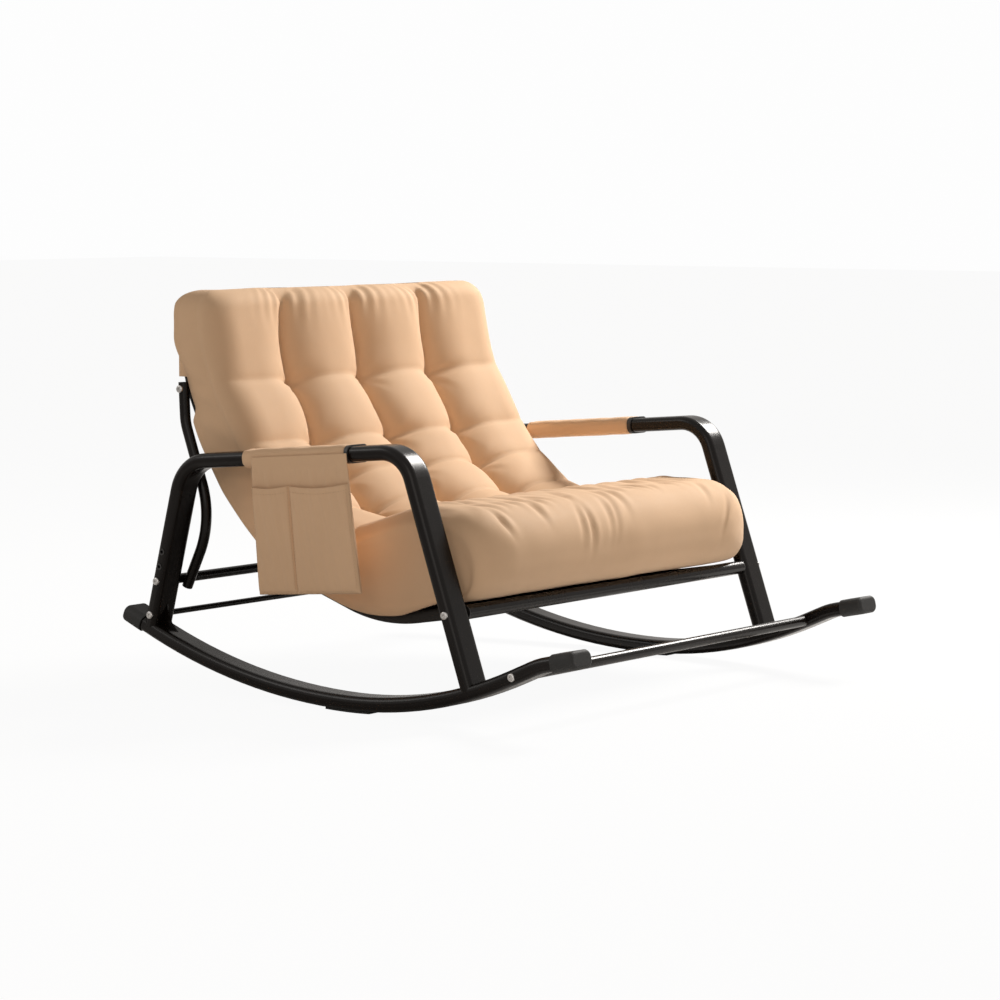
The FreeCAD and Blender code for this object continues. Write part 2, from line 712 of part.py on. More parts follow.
def cushion():
    """The space that the mattress fills, with room left for the hinges behind it."""
    return largest(cloth_block(cushion_outline(), CUSHION_HALF_WIDTH).cut(hinge_room()))


def hinge_room():
    """What the cushion leaves free beside the rails: the supports' tops and the hinges."""
    hinge = (HINGE[0], HINGE[1] + SUPPORT_TOP_REACH + SUPPORT_ROOM)
    behind = [hinge + (0.0,)] + support_path()[1:]
    swing = bent(SIDE * SUPPORT_X, behind, round_face(SUPPORT_DIAMETER + 2 * SUPPORT_ROOM))
    nuts = rod(NUT_WIDTH + 2 * SUPPORT_ROOM, SIDE * RAIL_X, SIDE * FRAME_INNER, HINGE)
    return [swing, nuts, mirrored(swing), mirrored(nuts)]


def cushion_back():
    """How far forward the flat part of the cushion's back stands."""
    return cushion_outline()[0][0]


def support_path():
    """Centre line of a support tube, from above its hinge to its foot beside the crossbar."""
    bends = [SUPPORT_UPPER_BEND, SUPPORT_LOWER_BEND]
    top = (HINGE[0], HINGE[1] + SUPPORT_TOP_REACH)
    reach = (SUPPORT_DIAMETER + CROSSBAR_DIAMETER) / 2 - WELD_BITE
    gap = heading(SUPPORT_LOWER_BEND, ADJUSTER)
    distance = math.dist(SUPPORT_LOWER_BEND[:2], ADJUSTER)
    tilt = math.asin(reach / distance)
    cosine, sine = math.cos(tilt), math.sin(tilt)
    down = (gap[0] * cosine - gap[1] * sine, gap[0] * sine + gap[1] * cosine)
    foot = along(SUPPORT_LOWER_BEND, down, distance * math.cos(tilt) + SUPPORT_FOOT_REACH)
    return [top + (0.0,)] + bends + [foot + (0.0,)]


def support_tube(crossbar_block):
    x = SIDE * SUPPORT_X
    tube = bent(x, support_path(), round_face(SUPPORT_DIAMETER, ROUND_WALL))
    hinge_hole = hole(x - SUPPORT_DIAMETER, x + SUPPORT_DIAMETER, HINGE, BOLT_DIAMETER + 2 * CONTACT_GAP)
    return largest(tube.cut([crossbar_block, hinge_hole]))


def build_base():
    runner_block = bent(SIDE_X, runner_path(), oval_face())
    leg_block = bent(SIDE_X, side_frame_path(), oval_face())
    save_pair("runner", runner())
    save_pair("side_frame", side_frame(runner_block))
    path = runner_path()
    save_both("runner_rear_caps", runner_cap(path[0][:2], heading(path[0], path[1])))
    save_both("runner_front_caps", runner_cap(path[-1][:2], heading(path[-1], path[-2])))
    save_both("anti_slip_pads", foot_pad())
    save_both("rear_foot_gussets", gusset([runner_block, leg_block]))


def build_cross_members():
    grip = OVAL_WIDTH + BOLT_GRIP
    save("front_stretcher", cross_tube(STRETCHER_DIAMETER, FRAME_INNER, STRETCHER))
    save_both("stretcher_inserts", insert(FRAME_INNER, STRETCHER_DIAMETER, STRETCHER))
    save_both("stretcher_bolts", bolt(FRAME_OUTER, grip, STRETCHER))
    thread = hole(SIDE * (FRAME_INNER + 1), SIDE * (FRAME_INNER - BOLT_GRIP - 1), LOWER_ROD, BOLT_DIAMETER)
    lower = rod(LOWER_ROD_DIAMETER, -FRAME_INNER, FRAME_INNER, LOWER_ROD)
    save("lower_rear_rod", lower.cut([thread, mirrored(thread)]))
    save_both("lower_rod_bolts", bolt(FRAME_OUTER, grip, LOWER_ROD))


def build_adjusters():
    """A bolt in the lowest hole of each rear leg, and a lined hole for each other step."""
    save_both("adjuster_bolts", bolt(FRAME_OUTER, OVAL_WIDTH - CONTACT_GAP, ADJUSTER))
    outer = SIDE * FRAME_OUTER
    grommets = []
    for point in ADJUSTER_ROW[1:]:
        flange = rod(GROMMET_DIAMETER, outer, outer + SIDE * GROMMET_HEIGHT, point)
        liner = rod(BOLT_DIAMETER + BOLT_CLEARANCE, outer, outer - SIDE * OVAL_WALL, point)
        bore = rod(GROMMET_BORE, outer - SIDE * 2 * OVAL_WALL, outer + SIDE * 2 * GROMMET_HEIGHT, point)
        grommets.append(flange.fuse(liner).cut(bore).removeSplitter())
    save("adjuster_grommets", group(grommets + [mirrored(grommet) for grommet in grommets]))


def build_arm_covers():
    rings = []
    for side, start, length in (("right", 0.0, PAD_LENGTH), ("left", LEFT_PAD_SHIFT, LEFT_PAD_LENGTH)):
        pad = arm_sleeve(start, start + length, CONTACT_GAP / 2, PAD_THICKNESS, PAD_END_ROUND)
        ring_start = start + length + CONTACT_GAP / 2
        ring = arm_sleeve(ring_start, ring_start + RING_LENGTH, CONTACT_GAP / 2, RING_THICKNESS, 0.0)
        save("arm_pad_" + side, pad if side == "right" else mirrored(pad))
        rings.append(ring if side == "right" else mirrored(ring))
    save("arm_pad_rings", group(rings))
    save("pocket_back_panel", pocket_back())
    save("pocket_front_panel", pocket_front())


def build_sling_frame():
    tube_half = FRAME_INNER - PIVOT_WASHER - 2 * CONTACT_GAP
    front_block = rod(FRONT_TUBE_DIAMETER, -tube_half, tube_half, PIVOT)
    save("front_cross_tube", cross_tube(FRONT_TUBE_DIAMETER, tube_half, PIVOT))
    save_both("cross_tube_inserts", insert(tube_half, FRONT_TUBE_DIAMETER, PIVOT))
    washer = rod(FRONT_TUBE_DIAMETER, SIDE * tube_half, SIDE * (tube_half + PIVOT_WASHER), PIVOT)
    save_both("pivot_washers", washer.cut(hole(SIDE * (tube_half - 1), SIDE * FRAME_OUTER, PIVOT)))
    seat = FRAME_OUTER + CONTACT_GAP
    save_both("pivot_bolts", bolt(seat, seat - tube_half + BOLT_GRIP, PIVOT))
    rail_block = bent(SIDE * RAIL_X, rail_path(), round_face(RAIL_DIAMETER))
    save_pair("seat_rail", seat_rail(front_block))
    save("back_top_rail", top_rail(rail_block))
    save_both("rail_top_plugs", rail_plug())
    save("sling_cloth", sling())
    save("cushion_hood", hood())
    save("seat_cushion", cushion())


def rail_plug():
    """The plastic plug in the top end of a rail."""
    stem_length = 4 * PLUG_THICKNESS
    stem_radius = RAIL_DIAMETER / 2 - ROUND_WALL - CONTACT_GAP
    top = at(SIDE * RAIL_X, *RAIL_TOP)
    cap = Part.makeCylinder(RAIL_DIAMETER / 2, PLUG_THICKNESS, top)
    stem = Part.makeCylinder(stem_radius, stem_length, top - Vector(0, 0, stem_length))
    return cap.fuse(stem).removeSplitter()


def build_support():
    bar_half = FRAME_INNER - 2 * CONTACT_GAP
    bar_block = rod(CROSSBAR_DIAMETER, -bar_half, bar_half, ADJUSTER)
    save_pair("support_tube", support_tube(bar_block))
    save("support_crossbar", cross_tube(CROSSBAR_DIAMETER, bar_half, ADJUSTER))
    save_both("crossbar_inserts", insert(bar_half, CROSSBAR_DIAMETER, ADJUSTER))


def build_hinges():
    """The bolt, spacer and nut that hang each support tube from its rail."""
    rail_side = RAIL_X + RAIL_DIAMETER / 2
    spacer_end = rail_side + SUPPORT_GAP - CONTACT_GAP
    spacer = rod(NUT_WIDTH, SIDE * rail_side, SIDE * spacer_end, HINGE)
    save_both("hinge_spacers", spacer.cut(hole(SIDE * (rail_side - 1), SIDE * (spacer_end + 1), HINGE)))
    head_seat = SUPPORT_X + SUPPORT_DIAMETER / 2 + CONTACT_GAP
    nut_seat = RAIL_X - RAIL_DIAMETER / 2
    nut_end = nut_seat - NUT_HEIGHT
    save_both("hinge_bolts", bolt(head_seat, head_seat - nut_end + BOLT_TIP, HINGE))
    nut = hexagon(NUT_WIDTH, SIDE * nut_seat, SIDE * nut_end, HINGE)
    save_both("hinge_nuts", nut.cut(hole(SIDE * (nut_seat + 1), SIDE * (nut_end - 1), HINGE, BOLT_DIAMETER)))


build_base()
build_cross_members()
build_adjusters()
build_arm_covers()
build_sling_frame()
build_support()
build_hinges()
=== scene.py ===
"""A wide rocking lounge chair: the soft covers, the finishes and the studio round its frame."""
import bisect
import json
import math
import random

import bmesh
import bpy
from bpy.props import FloatProperty, FloatVectorProperty, IntProperty, PointerProperty
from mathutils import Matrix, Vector, noise


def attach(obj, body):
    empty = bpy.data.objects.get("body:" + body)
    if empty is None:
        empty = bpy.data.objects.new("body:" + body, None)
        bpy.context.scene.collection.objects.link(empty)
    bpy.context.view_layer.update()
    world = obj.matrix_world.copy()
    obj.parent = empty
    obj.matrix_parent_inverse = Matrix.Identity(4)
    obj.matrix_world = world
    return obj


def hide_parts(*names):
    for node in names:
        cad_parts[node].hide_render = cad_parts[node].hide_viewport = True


bl_info = {
    "name": "Rocking lounge chair",
    "version": (1, 0, 0),
    "blender": (4, 5, 0),
    "location": "View3D > Sidebar > Chair",
    "description": "Dresses the frame of a wide rocking lounge chair",
    "category": "Add Mesh",
}

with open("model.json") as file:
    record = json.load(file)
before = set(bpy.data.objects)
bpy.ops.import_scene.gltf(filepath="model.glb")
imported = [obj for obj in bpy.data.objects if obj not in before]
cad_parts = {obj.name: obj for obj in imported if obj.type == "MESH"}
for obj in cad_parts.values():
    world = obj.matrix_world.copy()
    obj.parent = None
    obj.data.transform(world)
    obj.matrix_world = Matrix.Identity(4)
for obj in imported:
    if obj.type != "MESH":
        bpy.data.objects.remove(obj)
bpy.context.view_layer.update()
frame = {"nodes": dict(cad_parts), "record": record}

# Outlines seen from the side are lists of (forward, height, bend radius) in metres.

# The rail that carries the sling, from its top end to the tube that it turns on. Every
# piece of the seat follows it.
RAIL = [
    (-0.481, 0.762, 0.0),
    (-0.481, 0.636, 0.250),
    (-0.3846, 0.431, 0.700),
    (-0.228, 0.262, 0.420),
    (0.040, 0.172, 0.350),
    (0.280, 0.212, 0.0),
]
RAIL_X = 0.4301
RAIL_RADIUS = 0.011

# The mattress's underside lies this far off the rail, and its face runs from the head
# to the front.
CUSHION_LIFT = 0.0131
CUSHION_BACK_RADIUS = 0.038
CUSHION_FACE = [
    (-0.393, 0.814, 0.044),
    (-0.356, 0.650, 0.300),
    (-0.252, 0.474, 0.260),
    (-0.146, 0.384, 0.200),
    (-0.034, 0.355, 0.150),
    (0.120, 0.405, 0.120),
    (0.324, 0.405, 0.092),
    (0.328, 0.231, 0.070),
]
CUSHION_KNEE = (0.212, 0.225, 0.060)
HEAD_MIDDLE = (-0.430, 0.814)
FRONT_SEAM = (0.240, 0.2265)
# Points of the cushion's face and of its underside that lie opposite each other.
OPPOSITE = [
    ((-0.386, 0.785), (-0.468, 0.785)),
    ((-0.356, 0.650), (-0.462, 0.640)),
    ((-0.252, 0.474), (-0.390, 0.450)),
    ((-0.146, 0.384), (-0.255, 0.305)),
    ((-0.034, 0.362), (-0.080, 0.222)),
    ((0.120, 0.400), (0.060, 0.190)),
    ((0.270, 0.402), (0.140, 0.205)),
    ((0.325, 0.320), (0.195, 0.219)),
]
# Sewn tufts, as (forward, height), from the head down to the seat.
TUFT_ROWS = [(-0.394, 0.611), (-0.314, 0.498), (-0.241, 0.419), (-0.159, 0.362)]
CREASE = (-0.034, 0.355)
BOLSTER_TOP = (0.120, 0.405)
BOLSTER_FRONT = (0.328, 0.330)

# How deep the valleys between the puffs are, as shares of the puff: between two columns,
# how much more at the head, between two rows, and how much more on the columns' seams.
VALLEY = 0.36
VALLEY_AT_HEAD = 0.42
GROOVE = 0.13
GROOVE_ON_SEAMS = 0.50

# How far in from its sides the face rounds down, how far the sides bulge, and how far the
# head swells back over the hood.
SIDE_RUN = 0.070
SIDE_BULGE = 0.010
HEAD_SWELL = 0.022

# How far the sides hang down past the underside: beside the hood, along the seat, how
# much more behind the seat's crease, and round the hinges, where they draw up instead.
HANG_BESIDE_HOOD = 0.0275
HANG_ALONG_SEAT = 0.015
HANG_MORE_BEHIND = 0.005
HINGE_ROOM = 0.004

# The lower edge of a side, from its outer face round the lip to the underside, as
# (distance from the middle, share of the overhang), for a mattress of this half width.
LIP_FULL = 0.460
LIP_ROUND = 0.006
LIP = [
    (0.4592, 0.80),
    (0.4570, 0.96),
    (0.4530, 1.0),
    (0.4490, 0.97),
    (0.4462, 0.85),
    (0.4455, 0.5),
    (0.4450, 0.0),
]
UNDERSIDE = (0.40, 0.30, 0.20, 0.10, 0.0)

# The straight top of an arm, its tube, and where the right pad begins.
ARM_REAR = (-0.4113, 0.4694)
ARM_FRONT = (0.170, 0.5183)
ARM_X = 0.5035
TUBE_WIDTH = 0.060
TUBE_DEPTH = 0.030
TUBE_CORNER = 0.012
PAD_REAR = -0.238

# The pocket's divider as a share of its length, how much longer the pocket is at its
# bottom, how far the mouths of its two compartments sag, and the seams' and hems' ends.
DIVIDER = 0.39
POCKET_FLARE = 0.015
NARROW_SAG = 0.004
WIDE_SAG = 0.006
SEAM_INSET = 0.014
HEM_INSET = 0.02

# The hood's rise over the rail's end and its bend, and the sling's free ends and its sag.
HOOD_RISE = 0.0045
HOOD_BEND = 0.012
SLING_TOP_END = 0.022
SLING_FRONT_END = 0.016
SLING_SAG = 0.0025

CAMERA_PLACE = (-5.2550, -4.1083, 1.0205)
CAMERA_WAY = (0.78391, 0.61339, -0.09617)
LIT_SPOT = Vector((0.0, 0.0, 0.42))
# Each lamp's name, place, width and tone.
LAMPS = [
    ("key", (3.0, -0.5, 2.8), 1.3, (1.0, 0.97, 0.93)),
    ("fill", (-3.3, -1.3, 1.5), 2.0, (1.0, 0.93, 0.86)),
    ("rim", (-2.4, 2.4, 2.2), 1.2, (1.0, 0.98, 0.95)),
]
FLOOR_REACH = 30.0
# How much of its own white the camera sees in the floor, and gloss in the room.
FLOOR_GLOW = 0.94
ROOM_IN_GLOSS = 0.55


def at(x, forward, height):
    """The place of a point that is given across, forward and up."""
    return Vector((x, -forward, height))


def unit(dx, dz):
    length = math.hypot(dx, dz)
    return dx / length, dz / length


def smooth_step(low, high, value):
    """A share from 0 to 1 that eases in and out between two values."""
    share = min(max((value - low) / (high - low), 0.0), 1.0)
    return share * share * (3 - 2 * share)


def bump(value, centre, width):
    """A soft hump of height 1."""
    return math.exp(-((value - centre) / width) ** 2)


def headings(corners):
    """The direction of each straight run of an outline."""
    return [unit(b[0] - a[0], b[1] - a[1]) for a, b in zip(corners, corners[1:])]


def shifted(corners, distance):
    """A path moved to its left, with its bends kept round the same centres."""
    ways = headings(corners)
    ways = [ways[0]] + ways + [ways[-1]]
    moved = []
    for corner, before, after in zip(corners, ways, ways[1:]):
        cosine = before[0] * after[0] + before[1] * after[1]
        turn = before[0] * after[1] - before[1] * after[0]
        reach = distance / (1 + cosine)
        across = (-(before[1] + after[1]) * reach, (before[0] + after[0]) * reach)
        radius = corner[2] - math.copysign(distance, turn) if corner[2] else 0.0
        moved.append((corner[0] + across[0], corner[1] + across[1], max(radius, 0.0)))
    return moved


def rounded(corners, step=0.003):
    """Points along a path of straight runs joined by arcs."""
    ways = headings(corners)
    turns = []
    for a, b in zip(ways, ways[1:]):
        turns.append(math.atan2(a[0] * b[1] - a[1] * b[0], a[0] * b[0] + a[1] * b[1]))
    reach = [0.0] + [c[2] * math.tan(abs(t) / 2) for c, t in zip(corners[1:-1], turns)] + [0.0]
    run = [math.dist(a[:2], b[:2]) for a, b in zip(corners, corners[1:])]
    for index, length in enumerate(run):
        both = reach[index] + reach[index + 1]
        if both > length:
            reach[index] *= length / both
            reach[index + 1] *= length / both
    points = [Vector(corners[0][:2])]
    for index, turn in enumerate(turns):
        corner = Vector(corners[index + 1][:2])
        start = corner - Vector(ways[index]) * reach[index + 1]
        radius = reach[index + 1] / math.tan(abs(turn) / 2) if turn else 0.0
        points.append(start)
        pieces = max(2, int(radius * abs(turn) / step))
        side = math.copysign(1.0, turn)
        centre = start + Vector((-ways[index][1], ways[index][0])) * radius * side
        for piece in range(1, pieces + 1):
            angle = turn * piece / pieces
            arm = start - centre
            spun = Vector((arm[0] * math.cos(angle) - arm[1] * math.sin(angle),
                           arm[0] * math.sin(angle) + arm[1] * math.cos(angle)))
            points.append(centre + spun)
    points.append(Vector(corners[-1][:2]))
    return points


class Route:
    """A path that is read by the distance along it."""

    def __init__(self, points):
        self.points = points
        self.marks = [0.0]
        for a, b in zip(points, points[1:]):
            self.marks.append(self.marks[-1] + (b - a).length)
        self.length = self.marks[-1]

    def point(self, distance):
        distance = min(max(distance, 0.0), self.length)
        high = min(bisect.bisect_right(self.marks, distance), len(self.marks) - 1)
        span = self.marks[high] - self.marks[high - 1]
        share = (distance - self.marks[high - 1]) / span if span else 0.0
        return self.points[high - 1].lerp(self.points[high], share)

    def normal(self, distance, reach=0.006):
        """The direction square to the path, on its left."""
        way = self.point(distance + reach) - self.point(distance - reach)
        way.normalize()
        return Vector((-way[1], way[0]))

    def nearest(self, spot):
        """The distance along the path at which it passes closest to a spot."""
        gaps = [(point - Vector(spot)).length for point in self.points]
        return self.marks[gaps.index(min(gaps))]


# Meshes

def net_faces(rows, columns, closed=False):
    """The faces of a net of points, which may close round its columns."""
    span = columns if closed else columns - 1
    faces = []
    for row in range(rows - 1):
        for column in range(span):
            following = (column + 1) % columns
            low, high = row * columns, (row + 1) * columns
            faces.append((low + column, low + following, high + following, high + column))
    return faces


def make_piece(name, points, faces, finish, body, weld=0.0):
    """A smooth mesh that rides on a body of the frame."""
    mesh = bpy.data.meshes.new(name)
    mesh.from_pydata([tuple(point) for point in points], [], faces)
    work = bmesh.new()
    work.from_mesh(mesh)
    if weld:
        bmesh.ops.remove_doubles(work, verts=work.verts, dist=weld)
        bmesh.ops.dissolve_degenerate(work, edges=work.edges, dist=weld / 10)
    bmesh.ops.recalc_face_normals(work, faces=work.faces)
    for face in work.faces:
        face.smooth = True
    work.to_mesh(mesh)
    work.free()
    mesh.materials.append(finish)
    piece = bpy.data.objects.new(name, mesh)
    bpy.context.scene.collection.objects.link(piece)
    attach(piece, body)
    return piece


def thicken(piece, thickness, offset=0.0):
    """Gives a sheet its thickness: half to each side, or all inwards with an offset of -1."""
    modifier = piece.modifiers.new("cloth_thickness", "SOLIDIFY")
    modifier.thickness = thickness
    modifier.offset = offset


def stitches(name, seams, finish, body, length=0.0042, gap=0.0024, thread=0.0005):
    """Sewing thread as short raised stitches along each seam, a list of points with normals."""
    points, faces = [], []
    for seam in seams:
        walk = [0.0]
        for (a, _), (b, _) in zip(seam, seam[1:]):
            walk.append(walk[-1] + (b - a).length)
        place = gap
        index = 0
        while place + length < walk[-1]:
            ends = []
            for spot in (place, place + length):
                while index < len(walk) - 2 and walk[index + 1] < spot:
                    index += 1
                share = (spot - walk[index]) / max(walk[index + 1] - walk[index], 1e-9)
                ends.append(seam[index][0].lerp(seam[index + 1][0], share))
            up = seam[index][1]
            way = (ends[1] - ends[0]).normalized()
            side = way.cross(up).normalized()
            first = len(points)
            for share, full in ((0.0, 0.35), (0.3, 1.0), (0.7, 1.0), (1.0, 0.35)):
                spot = ends[0].lerp(ends[1], share)
                for turn in range(6):
                    angle = math.tau * turn / 6
                    offset = side * math.cos(angle) + up * (math.sin(angle) * 0.8 + 0.25)
                    points.append(spot + offset * thread * full)
            for ring in range(3):
                for turn in range(6):
                    low = first + ring * 6
                    following = (turn + 1) % 6
                    faces.append((low + turn, low + following, low + 6 + following, low + 6 + turn))
            faces.append(tuple(first + turn for turn in range(6)))
            faces.append(tuple(first + 18 + turn for turn in range(6)))
            place += length + gap
    return make_piece(name, points, faces, finish, body)


# Shader maths

class Field:
    """A value that varies over a surface. Python's operators on it add Math nodes."""

    def __init__(self, tree, socket):
        self.tree = tree
        self.socket = socket

    def with_math(self, operation, first, second):
        return self.tree.read("ShaderNodeMath", 0, {"operation": operation}, {0: first, 1: second})

    def __add__(self, other):
        return self.with_math("ADD", self, other)

    def __radd__(self, other):
        return self.with_math("ADD", other, self)

    def __sub__(self, other):
        return self.with_math("SUBTRACT", self, other)

    def __rsub__(self, other):
        return self.with_math("SUBTRACT", other, self)

    def __mul__(self, other):
        return self.with_math("MULTIPLY", self, other)

    def __rmul__(self, other):
        return self.with_math("MULTIPLY", other, self)

    def __pow__(self, other):
        return self.with_math("POWER", self, other)


class Tree:
    """The nodes of a material or of the world, added by their type."""

    def __init__(self, owner):
        owner.use_nodes = True
        self.nodes = owner.node_tree.nodes
        self.links = owner.node_tree.links

    def feed(self, node, inputs):
        for name, value in inputs.items():
            socket = node.inputs[name]
            if isinstance(value, Field):
                self.links.new(value.socket, socket)
            else:
                socket.default_value = value

    def add(self, kind, settings=None, inputs=None):
        node = self.nodes.new(kind)
        for name, value in (settings or {}).items():
            setattr(node, name, value)
        self.feed(node, inputs or {})
        return node

    def read(self, kind, output, settings=None, inputs=None):
        """Adds a node and gives one of its outputs."""
        return Field(self, self.add(kind, settings, inputs).outputs[output])

    def blend(self, first, second, factor):
        """A colour between two, which share the factor."""
        return self.read("ShaderNodeMix", 2, {"data_type": "RGBA"}, {0: factor, 6: first, 7: second})

    def ray(self, kind):
        """1 where a ray is of that kind, and 0 elsewhere."""
        return self.read("ShaderNodeLightPath", f"Is {kind} Ray")


class Finish(Tree):
    """A material on the object's own coordinates."""

    def __init__(self, name):
        self.material = bpy.data.materials.new(name)
        super().__init__(self.material)
        self.shader = self.nodes["Principled BSDF"]
        self.places = self.read("ShaderNodeTexCoord", "Object")
        self.tints = bpy.context.scene.chair_finish

    def grain(self, scale, detail=3.0, roughness=0.55):
        return self.read("ShaderNodeTexNoise", "Fac", None, {
            "Vector": self.places, "Scale": scale, "Detail": detail, "Roughness": roughness})

    def threads(self, scale, direction):
        return self.read("ShaderNodeTexWave", "Fac", {"bands_direction": direction}, {
            "Vector": self.places, "Scale": scale, "Distortion": 1.2, "Detail": 1.0, "Detail Scale": 2.0})

    def relief(self, height, distance, strength):
        return self.read("ShaderNodeBump", "Normal", None, {
            "Height": height, "Distance": distance, "Strength": strength})

    def finish(self, inputs):
        self.feed(self.shader, inputs)
        return self.material


def colour(values, factor):
    """A lighter or darker shade of a colour."""
    return tuple(min(value * factor, 1.0) for value in values[:3]) + (1.0,)


def once(name, maker):
    """The material of that name, made the first time that it is asked for. The frame brings
    plain materials with the slots' names, so no finish has such a name."""
    return bpy.data.materials.get(name) or maker(name)


def make_cushion_cloth(name):
    """Soft brushed upholstery cloth with a faint nap and a fine close weave."""
    cloth = Finish(name)
    base = cloth.tints.cushion_colour
    clouds = cloth.grain(7.0, 2.0)
    nap = cloth.grain(60.0, 4.0)
    weave = cloth.grain(1500.0, 2.0, 0.7)
    tone = cloth.blend(colour(base, 0.93), colour(base, 1.05), clouds * 0.7 + nap * 0.3)
    height = weave * 0.55 + nap * 0.45
    return cloth.finish({
        "Base Color": tone,
        "Roughness": 0.62 + 0.22 * nap,
        "Sheen Weight": 0.10,
        "Sheen Roughness": 0.45,
        "Specular IOR Level": 0.18,
        "Normal": cloth.relief(height, 0.0006, 0.35),
    })


def make_sling_cloth(name):
    """Dark coated mesh cloth."""
    cloth = Finish(name)
    base = cloth.tints.sling_colour
    warp = cloth.threads(260.0, "X")
    weft = cloth.threads(260.0, "Z")
    weave = warp * 0.5 + weft * 0.5
    tone = cloth.blend(colour(base, 0.6), colour(base, 1.5), weave)
    return cloth.finish({
        "Base Color": tone,
        "Roughness": 0.75 + 0.15 * cloth.grain(40.0),
        "Normal": cloth.relief(weave, 0.0007, 0.6),
    })


def make_frame_paint(name):
    """Baked satin lacquer on steel tube, with a faint orange peel and thin scuffs."""
    paint = Finish(name)
    base = paint.tints.frame_colour
    clouds = paint.grain(5.0, 3.0)
    peel = paint.grain(420.0, 1.0)
    scuffs = paint.grain(34.0, 6.0, 0.75) ** 3.0
    tone = paint.blend(colour(base, 0.85), colour(base, 1.7), clouds * 0.5 + scuffs)
    return paint.finish({
        "Base Color": tone,
        "Roughness": 0.20 + 0.08 * clouds + 0.15 * scuffs,
        "Specular IOR Level": 0.24,
        "Normal": paint.relief(peel, 0.0003, 0.25),
    })


def make_rubber(name):
    """Dull moulded rubber with a little floor dust."""
    rubber = Finish(name)
    base = rubber.tints.rubber_colour
    dust = rubber.grain(24.0, 5.0, 0.7)
    speckle = rubber.grain(900.0, 2.0)
    tone = rubber.blend(colour(base, 0.8), colour(base, 2.0), dust ** 2.0)
    return rubber.finish({
        "Base Color": tone,
        "Roughness": 0.55 + 0.25 * dust,
        "Normal": rubber.relief(speckle, 0.0003, 0.4),
    })


def make_plastic(name):
    """Moulded plastic with a fine grain."""
    plastic = Finish(name)
    base = plastic.tints.plastic_colour
    clouds = plastic.grain(30.0, 3.0)
    texture = plastic.grain(1300.0, 2.0)
    tone = plastic.blend(colour(base, 0.85), colour(base, 1.4), clouds)
    return plastic.finish({
        "Base Color": tone,
        "Roughness": 0.36 + 0.18 * clouds,
        "Normal": plastic.relief(texture, 0.0002, 0.35),
    })


def make_bolt_steel(name):
    """Plated steel with turning marks and smudges."""
    steel = Finish(name)
    base = steel.tints.bolt_colour
    turned = steel.grain(700.0, 2.0)
    smudge = steel.grain(60.0, 4.0)
    tone = steel.blend(colour(base, 0.8), colour(base, 1.1), smudge)
    return steel.finish({
        "Base Color": tone,
        "Metallic": 1.0,
        "Roughness": 0.22 + 0.2 * smudge,
        "Normal": steel.relief(turned, 0.0001, 0.2),
    })


def make_thread(name):
    """Twisted sewing thread, a shade darker than the cloth."""
    thread = Finish(name)
    base = thread.tints.cushion_colour
    twist = thread.grain(2500.0, 1.0)
    tone = thread.blend(colour(base, 0.7), colour(base, 0.98), twist)
    return thread.finish({"Base Color": tone, "Roughness": 0.6 + 0.2 * twist})


def cover(name, points, faces, body, weld=0.0):
    """A piece sewn of the upholstery cloth."""
    cloth = once("upholstery", make_cushion_cloth)
    return make_piece(name, points, faces, cloth, body, weld)


# Settings

def size(name, description, default):
    return FloatProperty(name=name, description=description, default=default, unit="LENGTH", precision=4)


def watts(name, description, default):
    return FloatProperty(name=name, description=description, default=default, unit="POWER")


def tint(name, description, default):
    return FloatVectorProperty(name=name, description=description, default=default,
                               subtype="COLOR", size=3, min=0.0, max=1.0)


class CushionSettings(bpy.types.PropertyGroup):
    """Sizes of the mattress"""
    width: size("Width", "Width of the mattress across the chair", 0.920)
    height: size("Height", "Height of the head's edge above the floor", 0.814)
    column_spacing: size("Tuft spacing", "Distance between two columns of tufts", 0.230)
    puff: size("Puff", "How far the puffs stand over the tufts", 0.074)
    side_round: size("Side rounding", "How far the crown draws in at the sides", 0.046)
    head_round: size("Head corners", "Radius of the head's corners", 0.055)
    bolster_round: size("Bolster corners", "Radius of the bolster's corners seen from above", 0.045)
    gather: size("Gathers", "Depth of the gathers of the bolster", 0.0050)
    wrinkles: IntProperty(name="Wrinkles", description="Wrinkles over the bolster", default=34)


class CoverSettings(bpy.types.PropertyGroup):
    """Sizes of the pads, pocket and hood"""
    pad_length: size("Pad length", "Length of an arm pad", 0.270)
    left_shift: size("Left pad place", "How far the left pad starts in front of the right one", -0.060)
    left_length: size("Left pad length", "Length of the left arm's pad", 0.280)
    pad_thickness: size("Pad thickness", "Padding round the arm's tube", 0.005)
    pocket_drop: size("Pocket drop", "How far the pocket hangs below its pad", 0.250)
    pocket_hem: size("Pocket hem", "Distance from the pad to the compartments' hem", 0.036)
    pocket_depth: size("Pocket depth", "Depth of the two compartments", 0.013)
    hood_bottom: size("Hood bottom", "Height of the hood's lower edge", 0.636)
    cloth: size("Cloth", "Thickness of the cover cloth", 0.0014)


class FinishSettings(bpy.types.PropertyGroup):
    """Colours of the finishes"""
    cushion_colour: tint("Cushion", "Colour of the upholstery cloth", (0.74, 0.50, 0.315))
    sling_colour: tint("Sling", "Colour of the sling cloth", (0.020, 0.017, 0.015))
    frame_colour: tint("Frame", "Colour of the lacquered tube", (0.0036, 0.0022, 0.0016))
    rubber_colour: tint("Rubber", "Colour of the caps and floor strips", (0.012, 0.012, 0.012))
    plastic_colour: tint("Plastic", "Colour of the plugs and rings", (0.016, 0.015, 0.015))
    bolt_colour: tint("Bolts", "Colour of the plated bolts", (0.62, 0.61, 0.60))


